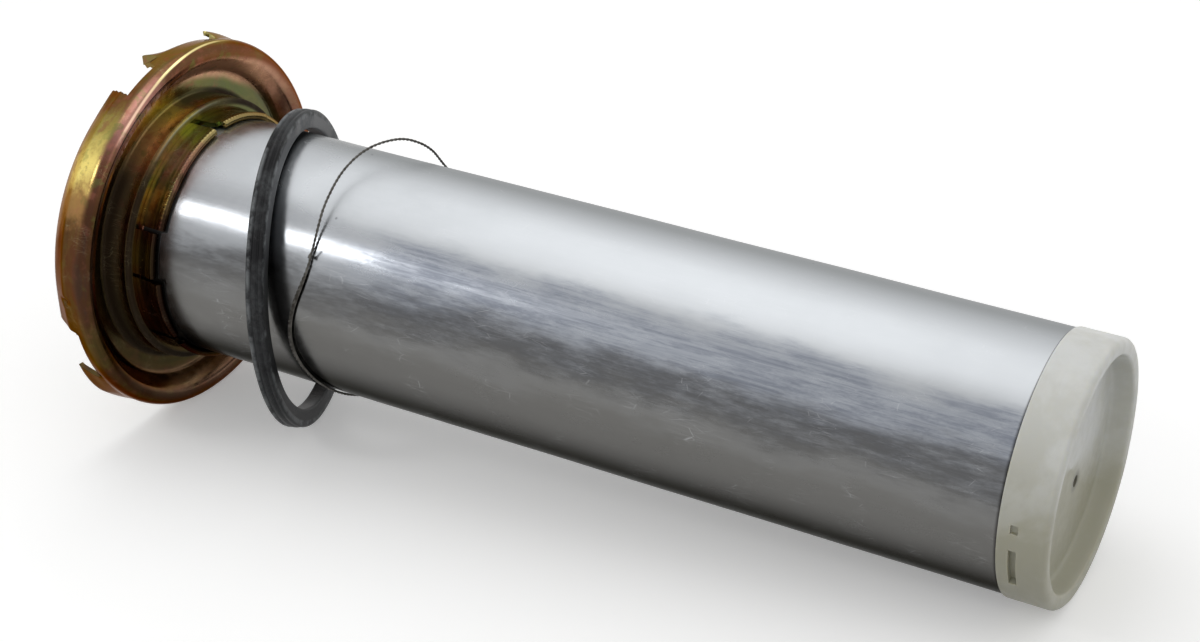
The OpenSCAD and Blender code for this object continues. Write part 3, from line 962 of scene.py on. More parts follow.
        # Darker stripe: partly smudging, partly painted dark reflection.
        smudge_and_reflection_line = bench.window(angle, self.LINE_CLOCK) * bench.spread(blotch, 0.30, 0.60, 0.50, 1.0)
        colour = bench.mix(smudge_and_reflection_line * 0.85, colour, self.SMUDGE_AND_REFLECTION_LINE)
        # Painted shade on the underside.
        colour = bench.mix(bench.window(angle, self.PAINTED_UNDERSIDE_CLOCK) * 0.85, colour, self.PAINTED_UNDERSIDE_SHADE)
        shaded = bench.window(spot["Clock"], self.SHADED_CLOCK)
        colour = bench.mix(shaded * 0.85, colour, self.SHADED)
        # Painted shade near the top edge.
        back = bench.window(spot["Clock"], self.PAINTED_UPPER_SHADE_CLOCK)
        colour = bench.mix(back * 0.45, colour, self.PAINTED_UPPER_SHADE)
        # The painted shades also darken the edge tint.
        painted_shade_share = bench.sum("MAXIMUM", shaded, back * 0.5)
        marks = bench.group(HANDLING, Place=place, Spacing=9.0, Amount=0.55)
        colour = bench.mix(marks["Scratch"] * 0.5, colour, self.SCRATCHED)
        colour = bench.mix(marks["Pit"] * 0.8, colour, self.PITTED)
        # Soiling and painted shade at the collar's edge and the cap's seam.
        grime_and_shade = self._grime_and_shade(bench, spot)
        above = bench.spread(spot["Along"], 36.0, 47.0, 0.17, 0.36)
        below = bench.spread(spot["Along"], 50.0, 85.0, 0.13, 0.215)
        gloss = bench.spread(spot["Clock"], 118.0, 136.0, above, below)
        ripple = bench.noise(bench.scaled(place, (0.03, 0.11, 0.11)), 1.0, 2)
        height = lines * 0.025 + ripple * 1.4 + smear_and_reflection * 0.08 - marks["Pit"] * 0.3
        bench.fill(
            shader,
            Base_Color=bench.mix(grime_and_shade * 0.95, colour, self.GRIME_AND_SHADE),
            Metallic=1.0,
            # Painted shade: a darker edge tint where the colour is painted dark.
            Specular_Tint=bench.mix(painted_shade_share * 0.9, self.WHITE, self.EDGE_TINT),
            Roughness=gloss + haze * 0.07 + smear_and_reflection * 0.12 + blotch * 0.08 + grime_and_shade * 0.3,
            Normal=bench.bump(height, 0.35, 0.10),
        )


@dataclass(frozen=True)
class MouldedNylon(Finish):
    """Milky natural nylon that light sinks into. It turns darker and yellower towards the lower
    side, partly yellowing and partly painted shade, and yellows a little in patches.
    """

    tone: Colour = (0.70, 0.71, 0.69)
    aged_and_shaded: Colour = (0.43, 0.42, 0.33)
    soak: float = 1.2
    gate: tuple[float, float, float] | None = None

    PITTED = (0.34, 0.31, 0.24)
    GATE_DARKENING = (0.15, 0.145, 0.12)

    def dress(self, bench: Bench, shader: bpy.types.Node) -> None:
        """Wires the milky body, yellowing with painted shade towards the lower side, a darker patch
        round the gate and a soft skin.

        Args:
            bench: The material's node tree.
            shader: Its Principled BSDF.
        """
        place = bench.place()
        cloud = bench.group(PATCHES, Place=place, Scale=0.05, Cover=0.5)
        clock = bench.group(ROUND_PLACE, Place=place)["Clock"]
        # Painted shade: darker and yellower towards the lower side, partly real yellowing.
        low = bench.sum("COSINE", bench.sum("RADIANS", clock - 250.0))
        yellowing_and_shade = bench.spread(low, -0.62, 0.72) * 0.95
        yellowing_and_shade = bench.sum("ADD", yellowing_and_shade, cloud["Mask"] * 0.30, clamp=True)
        colour = bench.mix(yellowing_and_shade, self.tone, self.aged_and_shaded)
        marks = bench.group(HANDLING, Place=place, Spacing=6.0, Amount=0.5)
        colour = bench.mix(marks["Pit"] * 0.6, colour, self.PITTED)
        # Darker round the gate hole.
        if self.gate:
            points = (place, self.gate)
            away = bench.put("ShaderNodeVectorMath", points, "Value", operation="DISTANCE")
            colour = bench.mix(bench.spread(away, 0.9, 2.9, 0.80, 0.0), colour, self.GATE_DARKENING)
        height = bench.noise(place, 0.35, 3) + bench.noise(place, 3.0, 4, 0.6) + marks["Scratch"]
        shader.inputs["Subsurface Radius"].default_value = (1.0, 0.9, 0.65)
        bench.fill(
            shader,
            Base_Color=colour,
            Subsurface_Weight=0.65,
            Subsurface_Scale=self.soak * MM,
            Roughness=bench.spread(cloud["Mottle"], 0.3, 0.7, 0.36, 0.50),
            Normal=bench.bump(height, 0.12, 0.06),
        )


@dataclass(frozen=True)
class RubberSkin(Finish):
    """Cured rubber: near black, with a grey, bloomed look on its ribs and dusty patches, both
    stronger on the upper part as painted top light, and a painted highlight on the upper part of
    one side face.
    """

    tone: Colour = (0.008, 0.008, 0.009)
    bloom_and_top_light: Colour = (0.058, 0.061, 0.063)
    cover: float = 0.5

    NEAR_EDGE_RUN = (3.3, 3.8, 4.3, 4.8)
    FAR_EDGE_RUN = (7.3, 7.9, 8.4, 8.9)
    SIDE_RUN = (8.3, 8.8, 11.4, 11.9)
    EDGE = (0.19, 0.20, 0.205)
    SIDE_TOP_LIGHT = (0.11, 0.115, 0.12)
    SCRATCHED = (0.14, 0.14, 0.14)

    def dress(self, bench: Bench, shader: bpy.types.Node) -> None:
        """Wires the bloomed patches with their painted top light, scuffs and a pebbled skin.

        Args:
            bench: The material's node tree.
            shader: Its Principled BSDF.
        """
        place = bench.place()
        cloud = bench.group(PATCHES, Place=place, Scale=0.09, Cover=self.cover)
        scuff = bench.noise(place, 1.1, 5, 0.7)
        share = cloud["Mask"] * bench.spread(scuff, 0.35, 0.65, 0.35, 1.0)
        up = bench.parts(place)[2]
        # Painted top light: the greyish patches grow stronger towards the top.
        share = share * bench.spread(up, -34.0, 26.0, 0.3, 1.0)
        colour = bench.mix(share, self.tone, self.bloom_and_top_light)
        run = bench.attribute("run")
        near = bench.window(run, self.NEAR_EDGE_RUN)
        edge = bench.sum("MAXIMUM", near, bench.window(run, self.FAR_EDGE_RUN))
        worn = bench.spread(bench.noise(place, 0.16, 4, 0.7), 0.42, 0.60)
        colour = bench.mix(edge * worn * 0.8, colour, self.EDGE)
        # Painted highlight on the upper part of the ring's side face.
        side = bench.window(run, self.SIDE_RUN) * bench.spread(up, 8.0, 24.0)
        colour = bench.mix(side * 0.7, colour, self.SIDE_TOP_LIGHT)
        marks = bench.group(HANDLING, Place=place, Spacing=5.0, Amount=0.8)
        bench.fill(
            shader,
            Base_Color=bench.mix(marks["Scratch"], colour, self.SCRATCHED),
            Specular_IOR_Level=0.14,
            Roughness=bench.spread(share, 0.0, 1.0, 0.38, 0.62),
            Normal=bench.bump(scuff + bench.noise(place, 6.0, 3), 0.30, 0.05),
        )


@dataclass(frozen=True)
class SmallMetal(Finish):
    """Plain metal of a small part: two tones, tarnish in patches, and rolled or drawn lines."""

    tone: Colour = (0.55, 0.54, 0.52)
    tarnish: Colour = (0.22, 0.19, 0.15)
    cover: float = 0.4
    rough: float = 0.30
    scale: float = 0.25

    SHINE = (0.85, 0.84, 0.82)

    def dress(self, bench: Bench, shader: bpy.types.Node) -> None:
        """Wires tarnish, lines, scratches and gloss.

        Args:
            bench: The material's node tree.
            shader: Its Principled BSDF.
        """
        place = bench.place()
        cloud = bench.group(PATCHES, Place=place, Scale=self.scale, Cover=self.cover)
        lines = bench.group(GRAIN, Place=place, Scale=5.0)["Lines"]
        shade = bench.mix(0.5, self.tone, self.tarnish)
        colour = bench.mix(bench.spread(lines, 0.3, 0.75), self.tone, shade)
        colour = bench.mix(cloud["Mask"] * 0.75, colour, self.tarnish)
        marks = bench.group(HANDLING, Place=place, Spacing=3.0, Amount=0.6)
        bench.fill(
            shader,
            Base_Color=bench.mix(marks["Scratch"], colour, bench.mix(0.4, self.tone, self.SHINE)),
            Metallic=1.0,
            Roughness=self.rough + cloud["Mask"] * 0.22,
            Normal=bench.bump(lines + cloud["Mottle"], 0.20, 0.03),
        )


@dataclass(frozen=True)
class MouldedPlastic(Finish):
    """Opaque moulded plastic with a fine spark-eroded skin and handling marks."""

    tone: Colour = (0.05, 0.05, 0.052)
    worn: Colour = (0.12, 0.115, 0.11)
    rough: float = 0.45

    def dress(self, bench: Bench, shader: bpy.types.Node) -> None:
        """Wires colour drift, dust, marks and the fine skin.

        Args:
            bench: The material's node tree.
            shader: Its Principled BSDF.
        """
        place = bench.place()
        cloud = bench.group(PATCHES, Place=place, Scale=0.12, Cover=0.45)
        marks = bench.group(HANDLING, Place=place, Spacing=4.0, Amount=0.6)
        colour = bench.mix(cloud["Mask"] * 0.7, self.tone, self.worn)
        gloss = bench.spread(cloud["Mottle"], 0.3, 0.7, self.rough - 0.06, self.rough + 0.10)
        height = bench.noise(place, 5.0, 4, 0.6) + marks["Scratch"]
        bench.fill(
            shader,
            Base_Color=bench.mix(marks["Scratch"] * 0.7, colour, self.worn),
            Roughness=gloss,
            Normal=bench.bump(height, 0.18, 0.04),
        )


@dataclass(frozen=True)
class ClosedFoam(Finish):
    """Closed-cell float foam with a skinned, finely pocked surface."""

    tone: Colour = (0.33, 0.22, 0.12)
    pock: Colour = (0.13, 0.085, 0.05)
    faded: Colour = (0.42, 0.31, 0.19)

    def dress(self, bench: Bench, shader: bpy.types.Node) -> None:
        """Wires cells of two sizes, colour drift and a dull skin.

        Args:
            bench: The material's node tree.
            shader: Its Principled BSDF.
        """
        place = bench.place()
        small = bench.spread(bench.cells(place, 1.6), 0.10, 0.32, 1.0, 0.0)
        large = bench.spread(bench.cells(place, 0.55), 0.06, 0.20, 1.0, 0.0)
        pocks = bench.sum("MAXIMUM", small, large)
        cloud = bench.group(PATCHES, Place=place, Scale=0.08, Cover=0.5)
        colour = bench.mix(cloud["Mask"] * 0.4, self.tone, self.faded)
        bench.fill(
            shader,
            Base_Color=bench.mix(pocks * 0.6, colour, self.pock),
            Roughness=bench.spread(cloud["Mottle"], 0.3, 0.7, 0.70, 0.85),
            Normal=bench.bump(1.0 - pocks, 0.5, 0.12),
        )


@dataclass(frozen=True)
class PaleFloor(Finish):
    """Pale studio floor that thins out to nothing at its rim."""

    tone: Colour = (0.95, 0.95, 0.945)
    mottled: Colour = (0.92, 0.92, 0.915)
    bounce: Colour = (0.40, 0.40, 0.39)
    glow: float = 0.26
    fade_from: float = 0.30
    fade_to: float = 0.50

    def dress(self, bench: Bench, shader: bpy.types.Node) -> None:
        """Wires a faint mottling, the pale look to the eye and the fading rim.

        Args:
            bench: The material's node tree.
            shader: Its Principled BSDF.
        """
        place = bench.put("ShaderNodeTexCoord", (), "Object")
        seen = bench.seen()
        mottle = bench.spread(bench.noise(place, 14.0, 4), 0.3, 0.7, 0.0, 0.5)
        reach = bench.put("ShaderNodeVectorMath", (place,), "Value", operation="LENGTH")
        bench.fill(
            shader,
            Base_Color=bench.mix(seen, self.bounce, bench.mix(mottle, self.tone, self.mottled)),
            Roughness=0.9,
            Specular_IOR_Level=0.1,
            Emission_Color=(1.0, 1.0, 1.0),
            Emission_Strength=seen * self.glow,
            Alpha=bench.spread(reach, self.fade_from, self.fade_to, 1.0, 0.0),
        )


class FinishSet:
    """Every finish on the object, and which carried-over node wears which."""

    zinc = FlangeZinc("yellow_zinc_flange")
    zinc_collar = CollarZinc("yellow_zinc_collar", drift=-0.06, rough=0.20)
    zinc_cup = ZincFilm("yellow_zinc_cup", drift=0.05, rough=0.24)
    aluminium = WornAluminium("worn_aluminium")
    nylon = MouldedNylon("milky_nylon", gate=(196.8, 4.0, -5.0))
    carrier = MouldedNylon("carrier_nylon", tone=(0.70, 0.68, 0.60), aged_and_shaded=(0.60, 0.54, 0.38))
    rubber = RubberSkin("seal_rubber_skin")
    gasket = RubberSkin("gasket_rubber", tone=(0.02, 0.02, 0.02), bloom_and_top_light=(0.07, 0.07, 0.07))
    tie = SmallMetal("dark_tie_wire", (0.130, 0.124, 0.112), (0.040, 0.035, 0.030), 0.45, 0.40, 0.6)
    steel = SmallMetal("rod_steel", (0.56, 0.56, 0.56), (0.30, 0.28, 0.25), 0.35, 0.26)
    rivet = SmallMetal("tinned_rivet", (0.62, 0.61, 0.58), (0.30, 0.28, 0.24), 0.40, 0.34)
    brass = SmallMetal("blade_brass", (0.70, 0.50, 0.20), (0.30, 0.19, 0.08), 0.42, 0.28)
    bronze = SmallMetal("spring_bronze", (0.62, 0.38, 0.20), (0.26, 0.14, 0.08), 0.40, 0.30)
    resistance = SmallMetal("resistance_alloy", (0.48, 0.44, 0.38), (0.24, 0.20, 0.16), 0.4, 0.34)
    solder = SmallMetal("dull_solder", (0.52, 0.52, 0.51), (0.30, 0.29, 0.28), 0.5, 0.42, 0.9)
    block = MouldedPlastic("block_phenolic", (0.035, 0.030, 0.028), (0.09, 0.075, 0.065), 0.40)
    contact = MouldedPlastic("contact_plastic", (0.16, 0.06, 0.035), (0.24, 0.12, 0.08), 0.45)
    foam = ClosedFoam("float_foam_skin")

    carried: dict[str, Finish] = {
        "upper_carrier": carrier,
        "lower_carrier": carrier,
        "signal_tag": brass,
        "return_tag": brass,
        "warning_tag": brass,
        "solder_joints": solder,
        "guide_rod": steel,
        "frame_rails": steel,
        "signal_wire": resistance,
        "return_wire": resistance,
        "warning_wire": resistance,
        "upper_bumper": gasket,
        "lower_bumper": gasket,
        "tension_springs": bronze,
        "spring_screws": steel,
        "warning_contacts": bronze,
        "rod_clip": steel,
        "float": foam,
        "contact_carrier": contact,
        "contact_springs": bronze,
        "warning_bridge": bronze,
        "block_gasket": gasket,
    }


# Workpieces


@dataclass(frozen=True)
class Corner:
    """A corner of a turned outline: place along the tube, distance from its axis, rounding."""

    x: float
    r: float
    round: float = 0.0


@dataclass(frozen=True)
class Hole:
    """A drilled hole: its middle, the way it points, its radius and its length."""

    middle: Vector
    way: Vector
    radius: float
    length: float
    sides: int = 32


@dataclass
class Spot:
    """A point on a turned piece, as a shaping rule sees it."""

    x: float
    r: float
    clock: float
    run: float


class Workpiece:
    """One piece being made in a bmesh, in millimetres, about the tube's axis."""

    def __init__(self, name: str) -> None:
        """Starts an empty piece.

        Args:
            name: Name of the object that it becomes.
        """
        self.name = name
        self.bm = bmesh.new()
        self.run = self.bm.verts.layers.float.new("run")

    def draw(
        self, corners: Sequence[Corner], closed: bool = False, step: float = 0.8, arcs: int = 4
    ) -> "Workpiece":
        """Draws the outline that will be turned, with its corners rounded.

        Args:
            corners: The outline's corners in order.
            closed: Whether the last corner joins the first.
            step: Longest straight stretch left uncut.
            arcs: Stretches in each rounded corner.

        Returns:
            The piece itself.
        """
        verts = [self.bm.verts.new((c.x, c.r, 0.0)) for c in corners]
        following = verts[1:] + verts[:1] if closed else verts[1:]
        for first, second in zip(verts, following):
            self.bm.edges.new((first, second))
        for vert, corner in zip(verts, corners):
            if corner.round > 0:
                bmesh.ops.bevel(
                    self.bm,
                    geom=[vert],
                    offset=corner.round,
                    offset_type="OFFSET",
                    segments=arcs,
                    profile=0.5,
                    affect="VERTICES",
                    clamp_overlap=True,
                    material=-1,
                )
        for edge in list(self.bm.edges):
            cuts = int(edge.calc_length() / step)
            if cuts:
                bmesh.ops.subdivide_edges(self.bm, edges=[edge], cuts=cuts)
        origin = Vector((corners[0].x, corners[0].r, 0.0))
        self._measure(min(self.bm.verts, key=lambda vert: (vert.co - origin).length))
        return self

    def _measure(self, start: bmesh.types.BMVert) -> None:
        """Stores each outline point's distance from the start, along the outline.

        Args:
            start: The outline's first point.
        """
        start[self.run] = 0.0
        seen, here, total = {start}, start, 0.0
        while True:
            ways = [e for e in here.link_edges if e.other_vert(here) not in seen]
            if not ways:
                return
            total += ways[0].calc_length()
            here = ways[0].other_vert(here)
            here[self.run] = total
            seen.add(here)

    def turn(self, columns: int) -> "Workpiece":
        """Turns the outline right round the tube's axis.

        Args:
            columns: Number of steps in the turn.

        Returns:
            The piece itself.
        """
        bmesh.ops.spin(
            self.bm,
            geom=self.bm.verts[:] + self.bm.edges[:],
            cent=(0, 0, 0),
            axis=(1, 0, 0),
            dvec=(0, 0, 0),
            angle=math.tau,
            steps=columns,
            use_merge=True,
            use_duplicate=False,
        )
        bmesh.ops.remove_doubles(self.bm, verts=self.bm.verts[:], dist=1e-4)
        bmesh.ops.recalc_face_normals(self.bm, faces=self.bm.faces[:])
        return self

    def aim(self, way: Vector) -> "Workpiece":
        """Turns an open sheet so that its furthest face along a way points that way.

        Args:
            way: The way that the face is to point.

        Returns:
            The piece itself.
        """
        outer = max(self.bm.faces, key=lambda f: way.dot(f.calc_center_median()))
        if way.dot(outer.normal) < 0:
            bmesh.ops.reverse_faces(self.bm, faces=self.bm.faces[:])
        return self

    def cut_away(self, unwanted: Callable[[Spot], bool]) -> "Workpiece":
        """Deletes the faces whose middle a rule picks out.

        Args:
            unwanted: Says whether a face's middle is to go.

        Returns:
            The piece itself.
        """
        gone = [f for f in self.bm.faces if unwanted(self._spot(f.calc_center_median()))]
        bmesh.ops.delete(self.bm, geom=gone, context="FACES")
        return self

    @staticmethod
    def _spot(point: Vector, run: float = 0.0) -> Spot:
        """Reads a point as distance along, distance from the axis and clock angle.

        Args:
            point: The point.
            run: Its distance along the drawn outline.

        Returns:
            The point, as a shaping rule sees it.
        """
        clock = math.degrees(math.atan2(point.z, point.y)) % 360
        return Spot(point.x, math.hypot(point.y, point.z), clock, run)

    def reshape(self, rule: Callable[[Spot], None]) -> "Workpiece":
        """Lets a rule move every point along, in or out, or round.

        Args:
            rule: Changes the Spot it is given in place.

        Returns:
            The piece itself.
        """
        for vert in self.bm.verts:
            spot = self._spot(vert.co, vert[self.run])
            rule(spot)
            vert.co = on_clock(spot.clock, spot.x, spot.r)
        self.bm.normal_update()
        return self

    def sink(self, wanted: Callable[[Spot], bool], radius: float) -> "Workpiece":
        """Presses the faces that a rule picks out down to a smaller radius.

        Args:
            wanted: Says whether a face's middle is in the pocket.
            radius: The pocket floor's distance from the axis.

        Returns:
            The piece itself.
        """
        faces = [f for f in self.bm.faces if wanted(self._spot(f.calc_center_median()))]
        moved = bmesh.ops.extrude_face_region(self.bm, geom=faces)["geom"]
        for vert in (g for g in moved if isinstance(g, bmesh.types.BMVert)):
            spot = self._spot(vert.co)
            vert.co = on_clock(spot.clock, spot.x, radius)
        bmesh.ops.delete(self.bm, geom=[f for f in faces if f.is_valid], context="FACES")
        return self

    def thicken(self, gauge: float) -> "Workpiece":
        """Gives a sheet its thickness, behind the face that was drawn.

        Args:
            gauge: The sheet's thickness.

        Returns:
            The piece itself.
        """
        bmesh.ops.solidify(self.bm, geom=self.bm.faces[:], thickness=gauge)
        bmesh.ops.recalc_face_normals(self.bm, faces=self.bm.faces[:])
        return self

    def ease(self, width: float, angle: float = 50.0, segments: int = 2) -> "Workpiece":
        """Rounds the sharp edges.

        Args:
            width: How far the rounding reaches from each edge.
            angle: Edges that turn more than this are sharp.
            segments: Stretches across the rounding.

        Returns:
            The piece itself.
        """
        limit = math.radians(angle)
        sharp = [e for e in self.bm.edges if e.is_manifold and e.calc_face_angle(0.0) > limit]
        bmesh.ops.bevel(
            self.bm,
            geom=sharp,
            offset=width,
            offset_type="OFFSET",
            segments=segments,
            profile=0.5,
            affect="EDGES",
            clamp_overlap=True,
            material=-1,
        )
        return self

    def lay(self, matrix: Matrix) -> "Workpiece":
        """Turns and shifts the whole piece.

        Args:
            matrix: Where it goes.

        Returns:
            The piece itself.
        """
        bmesh.ops.transform(self.bm, matrix=matrix, verts=self.bm.verts[:])
        return self

    def finish(
        self,
        finish: Finish,
        body: Body,
        slot: Slot,
        replaces: Sequence[str],
        holes: Iterable[Hole] = (),
    ) -> bpy.types.Object:
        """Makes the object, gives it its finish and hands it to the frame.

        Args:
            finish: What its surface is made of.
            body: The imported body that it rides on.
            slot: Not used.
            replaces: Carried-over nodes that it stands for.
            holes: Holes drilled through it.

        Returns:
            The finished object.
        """
        bmesh.ops.scale(self.bm, vec=(MM, MM, MM), verts=self.bm.verts[:])
        mesh = bpy.data.meshes.new(self.name)
        self.bm.to_mesh(mesh)
        self.bm.free()
        piece = bpy.data.objects.new(self.name, mesh)
        bpy.context.scene.collection.objects.link(piece)
        for hole in holes:
            drill(piece, hole)
        return hand_over(piece, finish, body, replaces)


def hand_over(
    piece: bpy.types.Object, finish: Finish, body: Body, replaces: Sequence[str]
) -> bpy.types.Object:
    """Shades a finished piece, dresses it and ties it to the frame.

    Args:
        piece: The object, in place.
        finish: What its surface is made of.
        body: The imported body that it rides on.
        replaces: Carried-over nodes that it stands for.

    Returns:
        The same object.
    """
    mesh = piece.data
    mesh.shade_smooth()
    mesh.set_sharp_from_angle(angle=math.radians(SHARP_ANGLE))
    mesh.materials.clear()
    mesh.materials.append(finish.material())
    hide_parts(*replaces)
    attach(piece, body.value)
    LOG.info("%s: %d faces, %s, on %s", piece.name, len(mesh.polygons), finish.name, body.value)
    return piece


def drill(piece: bpy.types.Object, hole: Hole) -> None:
    """Drills a round hole through a piece.

    Args:
        piece: The object to drill, in metres.
        hole: The hole, in millimetres.
    """
    tool = bmesh.new()
    turn = hole.way.to_track_quat("Z", "Y").to_matrix().to_4x4()
    place = Matrix.Translation(hole.middle * MM) @ turn
    bmesh.ops.create_cone(
        tool,
        cap_ends=True,
        segments=hole.sides,
        radius1=hole.radius * MM,
        radius2=hole.radius * MM,
        depth=hole.length * MM,
        matrix=place,
    )
    shape = bpy.data.meshes.new("drill")
    tool.to_mesh(shape)
    tool.free()
    bit = bpy.data.objects.new("drill", shape)
    bpy.context.scene.collection.objects.link(bit)
    work = piece.modifiers.new("hole", "BOOLEAN")
    work.operation = "DIFFERENCE"
    work.solver = "EXACT"
    work.object = bit
    graph = bpy.context.evaluated_depsgraph_get()
    drilled = bpy.data.meshes.new_from_object(piece.evaluated_get(graph))
    piece.modifiers.clear()
    piece.data = drilled
    bpy.data.objects.remove(bit)


# Outer pieces


@dataclass(frozen=True)
class Flare:
    """A bent corner of the skirt: where it starts, where it has faded, and its reach."""

    tip: float
    faded: float
    outward: float
    back: float
    from_x: float
    to_x: float
    ease: float = 2.0

    def bend(self, spot: Spot) -> None:
        """Bends the skirt at one point.

        Args:
            spot: The point, changed in place.
        """
        span = clock_gap(self.faded, self.tip)
        share = clock_gap(spot.clock, self.tip) / span
        if not -0.002 <= share < 1:
            return
        fade = (1 - max(share, 0.0)) ** self.ease
        depth = smooth(-spot.x, -self.from_x, -self.to_x)
        spot.r += self.outward * fade * depth
        spot.x -= self.back * fade * depth


@dataclass
class PressedFlange:
    """The notched flange: skirt, rounded bead, seal seat and raised neck."""

    gauge: float = 0.95
    columns: int = 720
    step: float = 0.76
    rounding: float = 0.14
    skirt_depth: float = 6.4
    notch_x: float = 0.0
    low_x: float = -2.8
    rim_r: float = 34.0
    notches: tuple[tuple[float, ...], ...] = (
        (93, 110, 99.5, 113),
        (191.3, 211.5, 191.8, 211.5),
        (300, 318, 300, 318),
    )
    low_edges: tuple[tuple[float, float], ...] = ((211.5, 300), (318, 429.5))
    dimple_clock: float = 181.0
    dimple_x: float = -2.2
    dimple_half: tuple[float, float] = (1.3, 1.7)
    dimple_depth: float = 0.55
    dimple_run: float = 9.0
    flares: tuple[Flare, ...] = (
        Flare(93, 80, 1.9, 0.3, -1.5, -6.4),
        Flare(110, 124, 0.7, 0.0, -2.0, -6.4),
        Flare(191.3, 180, 0.4, 0.1, -2.0, -6.4),
        Flare(69.5, 36, 1.7, 0.6, 1.2, -2.8, 1.1),
        Flare(211.5, 262, 1.9, 0.0, 1.2, -2.8, 0.8),
        Flare(211.5, 224, -2.2, 0.0, 0.4, -2.8, 1.5),
        Flare(211.5, 246, 0.0, 3.6, 0.4, -2.8, 1.3),
    )
    far_side: float = 0.5
    far_clock: float = 5.0
    far_span: tuple[float, float] = (110.0, 50.0)
    slit_clock: float = 69.5
    slit_width: float = 1.0
    slit_x: float = -1.2
    wander: float = 0.10
    skirt_wander: float = 0.12
    skirt_draw: float = 0.06
    outline: tuple[Corner, ...] = (
        Corner(-6.4, 36.2),
        Corner(-2.8, 38.66),
        Corner(-2.3, 38.95, 0.4),
        Corner(0.0, 39.45),
        Corner(2.75, 40.0, 1.25),
        Corner(4.62, 38.7, 0.8),
        Corner(4.35, 36.4, 0.9),
        Corner(0.0, 33.1, 0.8),
        Corner(0.0, 28.6, 0.45),
        Corner(5.95, 28.35, 0.45),
        Corner(6.0, 26.05),
    )

    def _notched(self, spot: Spot) -> bool:
        """Whether the skirt is cut away there.

        Args:
            spot: The point asked about.

        Returns:
            True inside a notch, below a low edge or in the slit.
        """
        if spot.r < self.rim_r:
            return False
        down = min(max(1 + spot.x / self.skirt_depth, 0.0), 1.0)
        sides = [(a + (c - a) * down, b + (d - b) * down) for a, b, c, d in self.notches]
        deep = any((spot.clock - a) % 360 < b - a for a, b in sides)
        shallow = any((spot.clock - a) % 360 < b - a for a, b in self.low_edges)
        slit = 0 < clock_gap(spot.clock, self.slit_clock) < self.slit_width
        cut = (deep and spot.x < self.notch_x) or (shallow and spot.x < self.low_x)
        return cut or (slit and spot.x < self.slit_x)

    def _press(self, spot: Spot) -> None:
        """Bends the corners, presses the dimple and lets the sheet wander a little.

        Args:
            spot: The point, changed in place.
        """
        if spot.r > self.rim_r:
            for flare in self.flares:
                flare.bend(spot)
            away = abs(clock_gap(spot.clock, self.far_clock))
            skirt = smooth(spot.r, self.rim_r, self.rim_r + 3.0)
            spot.r += self.far_side * smooth(away, *self.far_span) * skirt
        across = spot.r * math.radians(clock_gap(spot.clock, self.dimple_clock))
        wide, high = self.dimple_half
        gap = math.hypot(across / wide, (spot.x - self.dimple_x) / high)
        if spot.r > self.rim_r and gap < 1 and spot.run < self.dimple_run:
            spot.r -= self.dimple_depth * (1 - gap * gap) ** 2
        turn = math.radians(spot.clock)
        drift = noise.noise(Vector((1.6 * math.cos(turn), 1.6 * math.sin(turn), spot.x * 0.08)))
        spot.x += self.wander * drift
        if spot.r > self.rim_r:
            spot.r += self.skirt_wander * drift - self.skirt_draw

    def build(self) -> bpy.types.Object:
        """Presses, notches and bends the flange.

        Returns:
            The finished object.
        """
        work = Workpiece("flange_pressing").draw(self.outline, step=self.step).turn(self.columns)
        work.aim(ALONG).cut_away(self._notched).reshape(self._press)
        work.thicken(self.gauge).ease(self.rounding)
        return work.finish(FinishSet.zinc, Body.SENDER, Slot.ZINC, ["flange_cap"])


